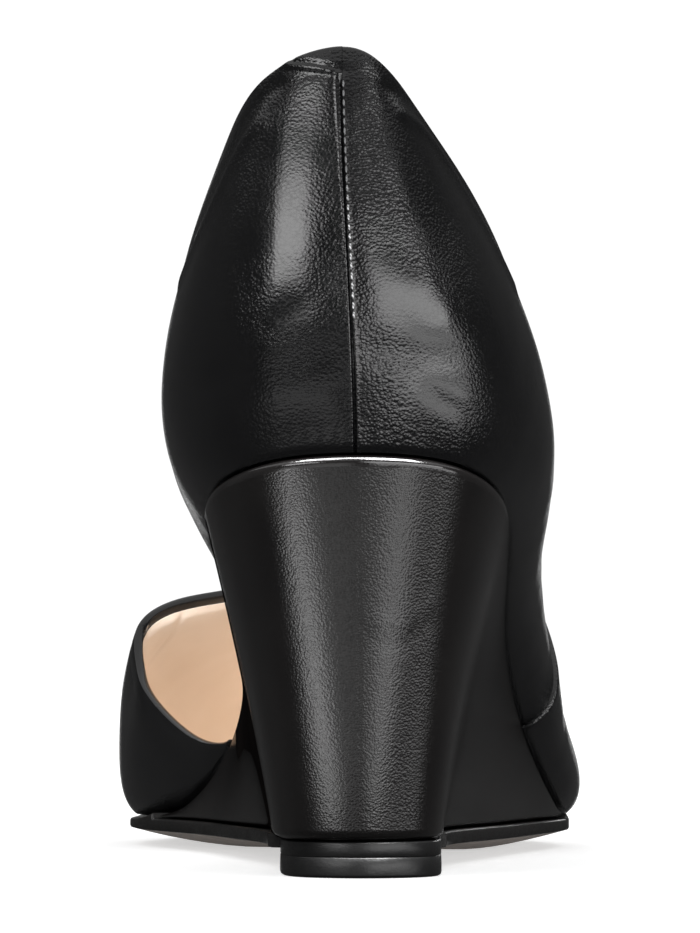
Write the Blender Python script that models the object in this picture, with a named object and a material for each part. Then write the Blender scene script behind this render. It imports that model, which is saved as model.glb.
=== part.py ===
"""A half d'Orsay wedge pump for the right foot, made as a shoemaker puts it together.

Pieces: upper (vamp and quarters, one lasted shell), insole, covered wedge, outsole and top lift.
Tables and sizes are in millimetres. x is negative on the inner side of the foot and positive on the
outer side, y runs from 0 at the back of the heel to LENGTH at the toe, and z = 0 is the floor. The meshes
are made in metres, with the origin under the middle of the shoe.
"""

import math
from collections import namedtuple

import bpy
import numpy as np

MM = 0.001

# Driving sizes of the shoe
LENGTH = 238.0
HEEL_HEIGHT = 65.0
WALL = 1.8
LAP_STEP = 0.9
LAP_FADE = 16.0
INSOLE_THICK = 2.6
SOCK_SPREAD = 2.0
LIFT_HEIGHT = 5.6
GAP = 0.3

# How far one piece stands proud of its neighbour or short of it
WEDGE_RIM = 0.5
WEDGE_INSET = 0.7
LIFT_INSET = 1.5
LIFT_SIDE = 0.6
WEDGE_WAIST = 0.6

# Where pieces end along the foot
WEDGE_FRONT = 150.0
LIFT_FRONT = 43.0
CUT_OUT_BACK = 75.0
CUT_OUT_FRONT = 116.0
CUT_OUT_EASE = 6.0
STEP_RUN = 0.15
END_TRIM = 0.1

# Mesh density
RIB_SPACING = 4.6
RIB_ROWS = 13
RIB_EASE = 0.5
SOLE_STATIONS = 46
INSOLE_COLUMNS = 5
SEAT_COLUMNS = 7
FLANK_ROWS = 5
SHARP_ANGLE = 35.0
TREAD_COLUMNS = (-1.0, -0.93, -0.82, -0.68, -0.5, 0.0, 0.5, 0.68, 0.82, 0.93, 1.0)
TREAD_FLAT = 0.5
TREAD_CURVE = 1.7
BALL_SLANT = 0.35

# One row for each section of the last, from the inner tip of the vamp round the toe and the heel to the
# cut-out. x, y: the feather line. top: the edge of the upper there. The wall leaves the feather line
# foot_lean degrees outward from upright and reaches its edge leaning top_lean degrees inward. A reach is
# a share of the wall's height.
Section = namedtuple("Section", "name x y top foot_lean foot_reach top_lean top_reach")
SECTIONS = [
    Section("vamp_tip", -21.0, 120.5, (-21.6, 120.3, 18.9), 35, 0.33, 10, 0.33),
    Section("vamp_wing", -24.6, 131.5, (-26.9, 130.2, 19.8), 46, 0.33, 10, 0.33),
    Section("inner_waist", -30.2, 147.0, (-34.8, 143.4, 26.2), 46, 0.30, 12, 0.33),
    Section("inner_ball", -37.7, 168.0, (-38.3, 152.0, 33.0), 57, 0.21, 5, 0.33),
    Section("inner_toe_root", -36.4, 190.0, (-38.0, 156.6, 39.9), 45, 0.23, 18, 0.33),
    Section("inner_toes", -28.5, 211.5, (-30.8, 158.2, 44.6), 27, 0.25, 50, 0.36),
    Section("toe_inner", -17.5, 229.3, (-18.0, 159.0, 46.9), 14, 0.22, 68, 0.40),
    Section("toe", -6.5, 236.5, (-5.5, 159.5, 48.9), 10, 0.20, 73, 0.40),
    Section("toe_outer", 7.5, 230.0, (5.5, 159.0, 50.2), 12, 0.22, 70, 0.40),
    Section("outer_toes", 24.0, 206.5, (15.0, 156.5, 50.8), 22, 0.25, 60, 0.38),
    Section("outer_ball", 36.6, 174.0, (23.2, 151.0, 51.2), 54, 0.23, 32, 0.36),
    Section("outer_waist", 37.6, 152.0, (26.8, 142.5, 52.2), 65, 0.25, 6, 0.34),
    Section("lap_seam", 29.4, 113.0, (29.2, 127.5, 54.8), 65, 0.385, 3, 0.33),
    Section("outer_shank", 25.7, 88.0, (29.4, 98.5, 64.5), 65, 0.39, 8, 0.30),
    Section("outer_heel_front", 25.3, 62.0, (28.4, 69.0, 80.0), 68, 0.41, 12, 0.33),
    Section("outer_heel", 25.1, 42.0, (25.2, 45.5, 96.0), 61, 0.38, 19, 0.33),
    Section("outer_heel_back", 22.4, 20.0, (14.2, 23.0, 114.6), 36, 0.34, 20, 0.33),
    Section("heel_outer", 14.0, 7.0, (6.4, 10.3, 124.0), 18, 0.34, 14, 0.33),
    Section("heel", 1.0, 3.6, (-1.2, 6.5, 127.5), 14, 0.34, 12, 0.33),
    Section("heel_inner", -11.6, 7.0, (-12.2, 11.0, 124.1), 18, 0.34, 14, 0.33),
    Section("inner_heel_back", -20.8, 20.0, (-19.5, 24.0, 114.2), 36, 0.34, 18, 0.33),
    Section("inner_heel", -22.2, 42.0, (-27.6, 46.0, 92.0), 50, 0.35, 13, 0.33),
    Section("inner_wing", -21.0, 57.0, (-28.9, 58.0, 68.0), 40, 0.34, 0, 0.33),
    Section("inner_wing_low", -20.2, 64.5, (-24.1, 64.6, 55.0), 36, 0.33, -3, 0.33),
    Section("quarter_tip", -19.4, 70.5, (-20.2, 70.4, 46.6), 30, 0.33, 3, 0.33),
    Section("cut_out_back", -17.4, 93.0, None, 0, 0, 0, 0),
    Section("cut_out_front", -18.4, 109.0, None, 0, 0, 0, 0),
]

# Height of the feather line along the foot
Height = namedtuple("Height", "y z")
FEATHER_HEIGHTS = [
    Height(3.5, HEEL_HEIGHT),
    Height(28.0, 58.5),
    Height(55.0, 50.6),
    Height(80.0, 40.4),
    Height(106.0, 26.2),
    Height(119.0, 18.7),
    Height(133.0, 11.8),
    Height(148.0, 6.9),
    Height(162.0, 5.2),
    Height(180.0, 5.0),
    Height(205.0, 6.6),
    Height(222.0, 9.0),
    Height(238.5, 12.2),
]

# Outline of the ground side: top lift, bottom of the wedge and outsole, from the back of the heel
Point = namedtuple("Point", "x y")
GROUND_OUTLINE = [
    Point(1.8, 11.0),
    Point(-9.0, 16.0),
    Point(-12.9, 30.0),
    Point(-13.2, 54.0),
    Point(-20.0, 96.0),
    Point(-29.0, 134.0),
    Point(-37.8, 158.0),
    Point(-40.0, 175.0),
    Point(-34.8, 202.0),
    Point(-19.6, 229.5),
    Point(-6.7, LENGTH),
    Point(8.4, 231.5),
    Point(25.8, 207.0),
    Point(37.7, 175.0),
    Point(39.0, 154.0),
    Point(33.0, 128.0),
    Point(24.5, 94.0),
    Point(16.4, 58.0),
    Point(15.2, 32.0),
    Point(11.8, 16.0),
]

# Outsole along the foot: height of its upper face under the wedge, of its lower edge and of its middle
Tread = namedtuple("Tread", "y top edge middle")
TREAD = [
    Tread(40.0, 6.1, 3.7, 3.6),
    Tread(70.0, 5.8, 3.5, 3.2),
    Tread(100.0, 5.5, 3.2, 2.3),
    Tread(130.0, 5.3, 3.0, 0.8),
    Tread(150.0, 5.2, 3.0, 0.0),
    Tread(188.0, 4.8, 3.0, 0.0),
    Tread(206.0, 6.4, 4.4, 1.6),
    Tread(222.0, 8.7, 6.6, 4.6),
    Tread(240.0, 11.9, 9.8, 8.6),
]

# Material of each piece: base colour, roughness
BLACK_LEATHER = ((0.012, 0.012, 0.013, 1.0), 0.38)
TAN_LEATHER = ((0.62, 0.42, 0.27, 1.0), 0.6)
BLACK_SOLE = ((0.018, 0.016, 0.015, 1.0), 0.5)
BLACK_RUBBER = ((0.015, 0.015, 0.016, 1.0), 0.55)


def curve_through(knots, rows):
    """The natural cubic curve through one row of numbers at each knot."""
    t = np.asarray(knots, float)
    p = np.asarray(rows, float).reshape(len(t), -1)
    h = np.diff(t)
    system = np.eye(len(t))
    right = np.zeros_like(p)
    for i in range(1, len(t) - 1):
        system[i, i - 1 : i + 2] = h[i - 1], 2 * (h[i - 1] + h[i]), h[i]
        right[i] = 6 * ((p[i + 1] - p[i]) / h[i] - (p[i] - p[i - 1]) / h[i - 1])
    bend = np.linalg.solve(system, right)

    def at(value):
        value = np.atleast_1d(np.asarray(value, float))
        i = np.clip(np.searchsorted(t, value) - 1, 0, len(h) - 1)
        done, left, span = (value - t[i])[:, None], (t[i + 1] - value)[:, None], h[i][:, None]
        return (
            (bend[i] * left**3 + bend[i + 1] * done**3) / (6 * span)
            + (p[i] / span - bend[i] * span / 6) * left
            + (p[i + 1] / span - bend[i + 1] * span / 6) * done
        )

    return at


def steady_curve(rows):
    """A table of heights along the foot as a function of y that never overshoots its rows."""
    table = np.array(rows, float)
    y, values = table[:, 0], table[:, 1:]
    slopes = np.diff(values, axis=0) / np.diff(y)[:, None]
    tangents = np.zeros_like(values)
    tangents[0], tangents[-1] = slopes[0], slopes[-1]
    rising = slopes[:-1] * slopes[1:] > 0
    total = np.where(rising, slopes[:-1] + slopes[1:], 1)
    tangents[1:-1] = np.where(rising, 2 * slopes[:-1] * slopes[1:] / total, 0)

    def at(value):
        value = np.atleast_1d(np.asarray(value, float))
        i = np.clip(np.searchsorted(y, value) - 1, 0, len(y) - 2)
        span = (y[i + 1] - y[i])[:, None]
        s = np.clip((value[:, None] - y[i][:, None]) / span, 0, 1)
        return (
            values[i] * (1 + 2 * s) * (1 - s) ** 2
            + values[i + 1] * s**2 * (3 - 2 * s)
            + tangents[i] * span * s * (1 - s) ** 2
            + tangents[i + 1] * span * s**2 * (s - 1)
        )

    return at


def split_sides(points):
    """The inner and the outer side of a closed row of plan points, each from back to toe."""
    back, toe = np.argmin(points[:, 1]), np.argmax(points[:, 1])
    turned = np.roll(points, -back, axis=0)
    split = (toe - back) % len(points)
    one, other = turned[: split + 1], np.concatenate([turned[split:], turned[:1]])[::-1]
    return (one, other) if one[:, 0].mean() < other[:, 0].mean() else (other, one)


class Outline:
    """A smooth closed curve in plan through a table's points. u is the distance along it from the first."""

    WRAP = 4
    STEPS = 2400

    def __init__(self, points):
        p = np.array([(q.x, q.y) for q in points])
        ring = np.concatenate([p[-self.WRAP :], p, p[: self.WRAP + 1]])
        knots = np.concatenate([[0], np.cumsum(np.linalg.norm(np.diff(ring, axis=0), axis=1))])
        knots -= knots[self.WRAP]
        self.curve = curve_through(knots, ring)
        self.stations = knots[self.WRAP : self.WRAP + len(p)]
        self.around = knots[self.WRAP + len(p)]
        p = self.at(self.steps())
        area = np.sum(p[:, 0] * np.roll(p[:, 1], -1) - np.roll(p[:, 0], -1) * p[:, 1])
        self.turn = -math.copysign(1, area)

    def steps(self):
        """Stations all round the curve."""
        return np.linspace(0, self.around, self.STEPS, endpoint=False)

    def at(self, u):
        return self.curve(u)

    def outward(self, u, reach=0.5):
        """Unit vectors in plan that point out of the outline."""
        along = self.at(np.asarray(u) + reach) - self.at(np.asarray(u) - reach)
        across = np.stack([-along[:, 1], along[:, 0]], axis=1) * self.turn
        return across / np.linalg.norm(across, axis=1)[:, None]

    def sides(self, inset=0.0):
        """The inner and the outer side, drawn in by inset, as rows of x and y from back to toe."""
        u = self.steps()
        return split_sides(self.at(u) - inset * self.outward(u))

    def ends(self, inset=0.0):
        """y of the back and of the toe, drawn in by inset."""
        inner, _ = self.sides(inset)
        return inner[0, 1], inner[-1, 1]

    def across(self, y, inset=0.0):
        """x of the inner and of the outer side at y, drawn in by inset."""
        return [np.interp(y, side[:, 1], side[:, 0]) for side in self.sides(inset)]


FEATHER = Outline(SECTIONS)
GROUND = Outline(GROUND_OUTLINE)
feather_height = steady_curve(FEATHER_HEIGHTS)
tread_heights = steady_curve(TREAD)


def station(name):
    """Where along the feather line a section stands."""
    return FEATHER.stations[[s.name for s in SECTIONS].index(name)]


def feather_points(u):
    """The feather line in space."""
    p = FEATHER.at(u)
    return np.column_stack([p, feather_height(p[:, 1])])


WALLED = [s for s in SECTIONS if s.top]
wall_columns = curve_through(
    FEATHER.stations[: len(WALLED)],
    [(*s.top, s.foot_lean, s.foot_reach, s.top_lean, s.top_reach) for s in WALLED],
)


def wall_surface(u, v):
    """The outside of the lasted upper: u along the feather line, v from 0 there to 1 at the upper's edge."""
    u = np.atleast_1d(u)
    foot = feather_points(u)
    columns = wall_columns(u)
    top = columns[:, :3]
    out = np.column_stack([FEATHER.outward(u), np.zeros(len(u))])
    up = np.array([0.0, 0.0, 1.0])
    height = np.linalg.norm(top - foot, axis=1)[:, None]
    foot_lean, top_lean = np.radians(columns[:, 3:4]), np.radians(columns[:, 5:6])
    foot_arm = height * columns[:, 4:5] * (np.sin(foot_lean) * out + np.cos(foot_lean) * up)
    top_arm = height * columns[:, 6:7] * (np.sin(top_lean) * out - np.cos(top_lean) * up)
    corners = [foot, foot + foot_arm, top + top_arm, top]
    weights = [(1 - v) ** 3, 3 * v * (1 - v) ** 2, 3 * v**2 * (1 - v), v**3]
    return sum(w[None, :, None] * c[:, None, :] for w, c in zip(weights, corners))


def wall_normals(u, v, reach=0.02, lift=0.004):
    """Outward unit normals of the upper's outside."""
    along = wall_surface(u + reach, v) - wall_surface(u - reach, v)
    upward = wall_surface(u, np.minimum(v + lift, 1)) - wall_surface(u, np.maximum(v - lift, 0))
    normal = np.cross(upward, along)
    return normal / np.linalg.norm(normal, axis=2)[:, :, None]


def lap(u):
    """How far the vamp stands proud of the last near the seam where it laps over the quarter."""
    ahead = station("lap_seam") - u
    return np.where(ahead > 0, LAP_STEP * np.clip(1 - ahead / LAP_FADE, 0, 1), 0.0)


def upper_rings():
    """Closed rings across the upper's wall, one at each rib, from the vamp's tip to the quarter's tip."""
    first, seam, last = station("vamp_tip"), station("lap_seam"), station("quarter_tip")
    ribs = []
    for start, end in ((first, seam - STEP_RUN), (seam + STEP_RUN, last)):
        ribs.append(np.linspace(start, end, 1 + round((end - start) / RIB_SPACING)))
    u = np.concatenate(ribs)
    even = np.linspace(0, 1, RIB_ROWS)
    v = even + RIB_EASE * ((1 - np.cos(math.pi * even)) / 2 - even)
    surface, normal = wall_surface(u, v), wall_normals(u, v)
    outside = surface + lap(u)[:, None, None] * normal
    inside = surface - WALL * normal
    out = np.column_stack([FEATHER.outward(u), np.zeros(len(u))])
    inside[:, 0] = surface[:, 0] - WALL * out
    outside[:, 0] = surface[:, 0] + lap(u)[:, None] * out
    return np.concatenate([outside, inside[:, ::-1]], axis=1)


def eased(count, start, end, round_start=True, round_end=True):
    """Stations along the foot, drawn together towards an end that is round in plan."""
    s = np.linspace(0, 1, count)
    if round_start and round_end:
        s = (1 - np.cos(math.pi * s)) / 2
    elif round_start:
        s = 1 - np.cos(math.pi / 2 * s)
    elif round_end:
        s = np.sin(math.pi / 2 * s)
    return start + (end - start) * s


def between(inner, outer, shares):
    """x at shares from -1 on the inner side to 1 on the outer side."""
    shares = np.asarray(shares)
    return (inner + outer)[:, None] / 2 + (outer - inner)[:, None] / 2 * shares


def slab_rings(y, x_top, z_top, x_bottom, z_bottom):
    """Closed rings across a flat piece, one at each y, from its upper face round to its lower face."""
    rows = []
    for x, z in ((x_top, z_top), (x_bottom[:, ::-1], z_bottom[:, ::-1])):
        rows.append(np.stack([x, np.broadcast_to(y[:, None], x.shape), z], axis=2))
    return np.concatenate(rows, axis=1)


def sock_points():
    """The insole's upper outline: it spreads over the lower one as far as the wall's lean leaves room."""
    u = FEATHER.steps()
    lean = np.radians(wall_columns(np.minimum(u, station("quarter_tip")))[:, 3:4])
    return FEATHER.at(u) - (WALL + GAP - SOCK_SPREAD * np.tan(lean / 2)) * FEATHER.outward(u)


def insole_rings():
    """The sock and its board, inside the upper's wall and out to the edge where the inner side is cut away."""
    inset = WALL + GAP
    back, toe = FEATHER.ends(inset)
    y = eased(SOLE_STATIONS, back + END_TRIM, toe - END_TRIM)
    lower = FEATHER.across(y, inset)
    upper = [np.interp(y, side[:, 1], side[:, 0]) for side in split_sides(sock_points())]
    bare, _ = FEATHER.across(y, GAP)
    opening = np.clip((y - CUT_OUT_BACK) / CUT_OUT_EASE, 0, 1)
    opening *= np.clip((CUT_OUT_FRONT - y) / CUT_OUT_EASE, 0, 1)
    for edges in (lower, upper):
        edges[0] = edges[0] + (bare - edges[0]) * opening
    shares = np.linspace(-1, 1, INSOLE_COLUMNS)
    z = np.broadcast_to(feather_height(y), (len(y), len(shares)))
    return slab_rings(y, between(*upper, shares), z + INSOLE_THICK, between(*lower, shares), z)


def tread_bottom(y, x, shares):
    """Height of the outsole's lower face: flat in the middle, rising to its edge, slanted at the ball."""
    slanted = (y[:, None] + BALL_SLANT * x).ravel()
    _, edge, middle = (column.reshape(x.shape) for column in tread_heights(slanted).T)
    rise = np.clip((np.abs(shares) - TREAD_FLAT) / (1 - TREAD_FLAT), 0, 1) ** TREAD_CURVE
    return middle + (edge - middle) * rise[None, :]


def outsole_rings():
    """The outsole from the top lift to the toe, with a shoulder where the wedge runs out on it."""
    start, end = LIFT_FRONT + GAP, GROUND.ends()[1] - END_TRIM
    waist = np.linspace(start, WEDGE_FRONT + STEP_RUN, SOLE_STATIONS // 3)
    forepart = eased(SOLE_STATIONS * 2 // 3, WEDGE_FRONT + 3 * STEP_RUN, end, round_start=False)
    y = np.concatenate([waist, forepart])
    shares = np.array(TREAD_COLUMNS)
    x = between(*GROUND.across(y), shares)
    bottom = tread_bottom(y, x, shares)
    under_wedge = tread_heights(y)[:, :1]
    top = np.where(y[:, None] > WEDGE_FRONT + 2 * STEP_RUN, feather_height(y) - GAP, under_wedge)
    return slab_rings(y, x, np.broadcast_to(top, x.shape), x, bottom)


def top_lift_rings():
    """The top lift under the back of the wedge."""
    back, _ = GROUND.ends(LIFT_INSET)
    y = eased(SOLE_STATIONS // 3, back + END_TRIM, LIFT_FRONT, round_end=False)
    x = between(*GROUND.across(y, LIFT_INSET), (-1.0, 1.0)) + LIFT_SIDE
    level = np.zeros_like(x)
    return slab_rings(y, x, level + LIFT_HEIGHT, x, level)


def wedge_rings():
    """The covered wedge: rings from its seat under the feather line down its flanks to the ground side."""
    shares = np.linspace(-1, 1, SEAT_COLUMNS)
    seat_back, _ = FEATHER.ends(-WEDGE_RIM)
    ground_back, _ = GROUND.ends(WEDGE_INSET)
    y_seat = eased(SOLE_STATIONS, seat_back + END_TRIM, WEDGE_FRONT, round_end=False)
    y_ground = eased(SOLE_STATIONS, ground_back + END_TRIM, WEDGE_FRONT, round_end=False)
    x_seat = between(*FEATHER.across(y_seat, -WEDGE_RIM), shares)
    x_ground = between(*GROUND.across(y_ground, WEDGE_INSET), shares)
    z_seat = np.broadcast_to(feather_height(y_seat) - GAP, x_seat.shape)
    over_tread = tread_heights(y_ground)[:, :1] + GAP
    over_lift = np.full_like(over_tread, LIFT_HEIGHT + GAP)
    above = np.where(y_ground[:, None] < LIFT_FRONT + 2 * GAP, over_lift, over_tread)
    z_ground = np.broadcast_to(above, x_ground.shape)
    seat = np.stack([x_seat, np.broadcast_to(y_seat[:, None], x_seat.shape), z_seat], axis=2)
    ground = np.stack([x_ground, np.broadcast_to(y_ground[:, None], x_ground.shape), z_ground], axis=2)
    outer_flank = flank(seat[:, -1], ground[:, -1], -1)
    inner_flank = flank(seat[:, 0], ground[:, 0], 1)
    return np.concatenate([seat, outer_flank, ground[:, ::-1], inner_flank[:, ::-1]], axis=1)


def flank(seat_edge, ground_edge, inward):
    """Points down one side of the wedge between its two edges, drawn in a little half-way down."""
    shares = np.linspace(0, 1, FLANK_ROWS + 2)[1:-1]
    points = seat_edge[:, None] + (ground_edge - seat_edge)[:, None] * shares[None, :, None]
    depth = np.clip((seat_edge - ground_edge)[:, 2] / HEEL_HEIGHT, 0, 1)
    hollow = WEDGE_WAIST * depth[:, None] * np.sin(math.pi * shares)[None, :]
    points[:, :, 0] += inward * hollow
    return points


def leather(name, finish):
    """A Principled material of one colour and roughness."""
    colour, roughness = finish
    material = bpy.data.materials.new(name)
    material.use_nodes = True
    shader = material.node_tree.nodes["Principled BSDF"]
    shader.inputs["Base Color"].default_value = colour
    shader.inputs["Roughness"].default_value = roughness
    shader.inputs["Metallic"].default_value = 0.0
    return material


def loft(name, rings, material, parent):
    """One closed solid through a row of closed rings, capped at both ends."""
    count, around, _ = rings.shape
    index = np.arange(count * around).reshape(count, around)
    faces = [tuple(index[0, ::-1]), tuple(index[-1])]
    for i in range(count - 1):
        for j in range(around):
            k = (j + 1) % around
            faces.append((index[i, j], index[i, k], index[i + 1, k], index[i + 1, j]))
    mesh = bpy.data.meshes.new(name)
    mesh.from_pydata((rings.reshape(-1, 3) * MM).tolist(), [], [[int(i) for i in face] for face in faces])
    face_outward(mesh)
    mesh.shade_smooth()
    mesh.set_sharp_from_angle(angle=math.radians(SHARP_ANGLE))
    mesh.materials.append(material)
    solid = bpy.data.objects.new(name, mesh)
    bpy.context.scene.collection.objects.link(solid)
    solid.parent = parent
    return solid


def face_outward(mesh):
    """Turns a closed mesh's faces outward, by the sign of the volume they enclose."""
    mesh.calc_loop_triangles()
    points = np.array([v.co for v in mesh.vertices])
    corners = points[np.array([t.vertices for t in mesh.loop_triangles])]
    if np.linalg.det(corners).sum() < 0:
        mesh.flip_normals()


def clear_scene():
    for old in list(bpy.data.objects):
        bpy.data.objects.remove(old)


def main():
    clear_scene()
    shoe = bpy.data.objects.new("shoe", None)
    bpy.context.scene.collection.objects.link(shoe)
    pieces = [
        ("upper", upper_rings(), BLACK_LEATHER),
        ("insole", insole_rings(), TAN_LEATHER),
        ("wedge", wedge_rings(), BLACK_LEATHER),
        ("outsole", outsole_rings(), BLACK_SOLE),
        ("top_lift", top_lift_rings(), BLACK_RUBBER),
    ]
    corners = np.concatenate([rings.reshape(-1, 3) for _, rings, _ in pieces])
    middle = (corners.min(axis=0) + corners.max(axis=0)) / 2
    shoe.location = (-middle[0] * MM, -middle[1] * MM, 0.0)
    for name, rings, finish in pieces:
        loft(name, rings, leather(name, finish), shoe)


main()
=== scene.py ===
"""Looks of the wedge shoe: leather, lining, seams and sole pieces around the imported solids.

The tables are in millimetres, as a shoemaker measures: x is negative on the inner side of the foot and
positive on the outer side, y runs from 0 at the back of the heel to LENGTH at the toe, and z = 0 is the
floor. to_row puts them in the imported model's frame, in metres.
"""

import math
from collections import namedtuple

import bmesh
import bpy
import numpy as np
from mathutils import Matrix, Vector


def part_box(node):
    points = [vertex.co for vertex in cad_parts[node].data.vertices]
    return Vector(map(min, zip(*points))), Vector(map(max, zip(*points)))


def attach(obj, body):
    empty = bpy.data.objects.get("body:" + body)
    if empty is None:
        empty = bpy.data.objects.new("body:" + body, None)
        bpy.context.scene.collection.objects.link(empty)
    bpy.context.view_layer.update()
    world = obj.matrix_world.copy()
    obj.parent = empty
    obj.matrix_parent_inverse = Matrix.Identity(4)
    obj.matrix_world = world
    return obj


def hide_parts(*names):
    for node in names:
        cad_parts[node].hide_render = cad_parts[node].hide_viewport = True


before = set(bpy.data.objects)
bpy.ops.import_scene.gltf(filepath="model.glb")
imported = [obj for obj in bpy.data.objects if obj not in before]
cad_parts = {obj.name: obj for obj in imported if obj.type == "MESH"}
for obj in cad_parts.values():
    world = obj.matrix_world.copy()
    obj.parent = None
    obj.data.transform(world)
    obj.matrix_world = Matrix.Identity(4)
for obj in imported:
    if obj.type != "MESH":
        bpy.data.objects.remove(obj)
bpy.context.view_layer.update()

MM = 0.001

# Driving sizes of the shoe, as in the solids
LENGTH = 238.0
HEEL_HEIGHT = 65.0
WALL = 1.8
LAP_STEP = 0.9
LAP_FADE = 16.0
INSOLE_THICK = 2.6
SOCK_SPREAD = 2.0
LIFT_HEIGHT = 5.6
GAP = 0.3
WEDGE_RIM = 0.5
WEDGE_INSET = 0.7
LIFT_INSET = 1.5
LIFT_SIDE = 0.6
WEDGE_WAIST = 0.6
WEDGE_FRONT = 150.0
LIFT_FRONT = 43.0
CUT_OUT_BACK = 75.0
CUT_OUT_FRONT = 116.0
CUT_OUT_EASE = 6.0
TREAD_FLAT = 0.5
TREAD_CURVE = 1.7
BALL_SLANT = 0.35

# Finish of the leather's edges
ROLL = 0.55
FOLD_DEPTH = 2.3
FOLD_GROOVE = 0.05
FOLD_GROOVE_WIDTH = 0.8
COLLAR = 4.0
COLLAR_LEAN = 0.15
LAP_ROUND = 0.7
FOOT_TUCK = 0.3
FOOT_TUCK_REACH = 0.7
LINING_THICK = 0.4
LINING_GAP = 0.05
SOCK_THICK = 0.6
SOCK_CLEAR = 0.2
SOCK_INSET = 0.5
CUT_OUT_RIM = 1.4
CUT_OUT_RIM_EASE = 15.0

# Mesh density
RIB_SPACING = 1.0
RIB_MERGE = 0.01
WELD = 0.0005
RIB_EDGE_EASE = 0.45
SEAM_RIBS = 45
SEAM_RIBS_REACH = 2.4
SEAM_RIBS_DRAW = 0.3
LAP_RIBS = 7
LAP_RIBS_FIRST = 0.1
LAP_RIBS_BEHIND = (0.02, 0.3, 0.6)
TAIL_RIB_SPACING = 0.35
OUTSIDE_ROWS = 100
INSIDE_ROWS = 22
EDGE_ROWS = 9
SOLE_STATIONS = 130
FLANK_ROWS = 44
RIM_ROWS = 14
LOW_ROWS = 120
LOW_SHARE = 0.4
BOARD_COLUMNS = 9
SOCK_COLUMNS = 21
WEDGE_COLUMNS = 9
SOLE_COLUMNS = 27
LIFT_COLUMNS = 7
SHARP_ANGLE = 50.0

# One row for each section of the last, from the inner tip of the vamp round the toe and the heel to the
# cut-out. x, y: the feather line. top: the edge of the upper there. The wall leaves the feather line
# foot_lean degrees outward from upright and reaches its edge leaning top_lean degrees inward. A reach is
# a share of the wall's height.
Section = namedtuple("Section", "name x y top foot_lean foot_reach top_lean top_reach")
SECTIONS = [
    Section("vamp_tip", -21.0, 120.5, (-21.6, 120.3, 18.9), 35, 0.33, 10, 0.33),
    Section("vamp_wing", -24.6, 131.5, (-26.9, 130.2, 19.8), 46, 0.33, 10, 0.33),
    Section("inner_waist", -30.2, 147.0, (-34.8, 143.4, 26.2), 46, 0.30, 12, 0.33),
    Section("inner_ball", -37.7, 168.0, (-38.3, 152.0, 33.0), 57, 0.21, 5, 0.33),
    Section("inner_toe_root", -36.4, 190.0, (-38.0, 156.6, 39.9), 45, 0.23, 18, 0.33),
    Section("inner_toes", -28.5, 211.5, (-30.8, 158.2, 44.6), 27, 0.25, 50, 0.36),
    Section("toe_inner", -17.5, 229.3, (-18.0, 159.0, 46.9), 14, 0.22, 68, 0.40),
    Section("toe", -6.5, 236.5, (-5.5, 159.5, 48.9), 10, 0.20, 73, 0.40),
    Section("toe_outer", 7.5, 230.0, (5.5, 159.0, 50.2), 12, 0.22, 70, 0.40),
    Section("outer_toes", 24.0, 206.5, (15.0, 156.5, 50.8), 22, 0.25, 60, 0.38),
    Section("outer_ball", 36.6, 174.0, (23.2, 151.0, 51.2), 54, 0.23, 32, 0.36),
    Section("outer_waist", 37.6, 152.0, (26.8, 142.5, 52.2), 65, 0.25, 6, 0.34),
    Section("lap_seam", 29.4, 113.0, (29.2, 127.5, 54.8), 65, 0.385, 3, 0.33),
    Section("outer_shank", 25.7, 88.0, (29.4, 98.5, 64.5), 65, 0.39, 8, 0.30),
    Section("outer_heel_front", 25.3, 62.0, (28.4, 69.0, 80.0), 68, 0.41, 12, 0.33),
    Section("outer_heel", 25.1, 42.0, (25.2, 45.5, 96.0), 61, 0.38, 19, 0.33),
    Section("outer_heel_back", 22.4, 20.0, (14.2, 23.0, 114.6), 36, 0.34, 20, 0.33),
    Section("heel_outer", 14.0, 7.0, (6.4, 10.3, 124.0), 18, 0.34, 14, 0.33),
    Section("heel", 1.0, 3.6, (-1.2, 6.5, 127.5), 14, 0.34, 12, 0.33),
    Section("heel_inner", -11.6, 7.0, (-12.2, 11.0, 124.1), 18, 0.34, 14, 0.33),
    Section("inner_heel_back", -20.8, 20.0, (-19.5, 24.0, 114.2), 36, 0.34, 18, 0.33),
    Section("inner_heel", -22.2, 42.0, (-27.6, 46.0, 92.0), 50, 0.35, 13, 0.33),
    Section("inner_wing", -21.0, 57.0, (-28.9, 58.0, 68.0), 40, 0.34, 0, 0.33),
    Section("inner_wing_low", -20.2, 64.5, (-24.1, 64.6, 55.0), 36, 0.33, -3, 0.33),
    Section("quarter_tip", -19.4, 70.5, (-20.2, 70.4, 46.6), 30, 0.33, 3, 0.33),
    Section("cut_out_back", -17.4, 93.0, None, 0, 0, 0, 0),
    Section("cut_out_front", -18.4, 109.0, None, 0, 0, 0, 0),
]

# Height of the feather line along the foot
Height = namedtuple("Height", "y z")
FEATHER_HEIGHTS = [
    Height(3.5, HEEL_HEIGHT),
    Height(28.0, 58.5),
    Height(55.0, 50.6),
    Height(80.0, 40.4),
    Height(106.0, 26.2),
    Height(119.0, 18.7),
    Height(133.0, 11.8),
    Height(148.0, 6.9),
    Height(162.0, 5.2),
    Height(180.0, 5.0),
    Height(205.0, 6.6),
    Height(222.0, 9.0),
    Height(238.5, 12.2),
]

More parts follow.
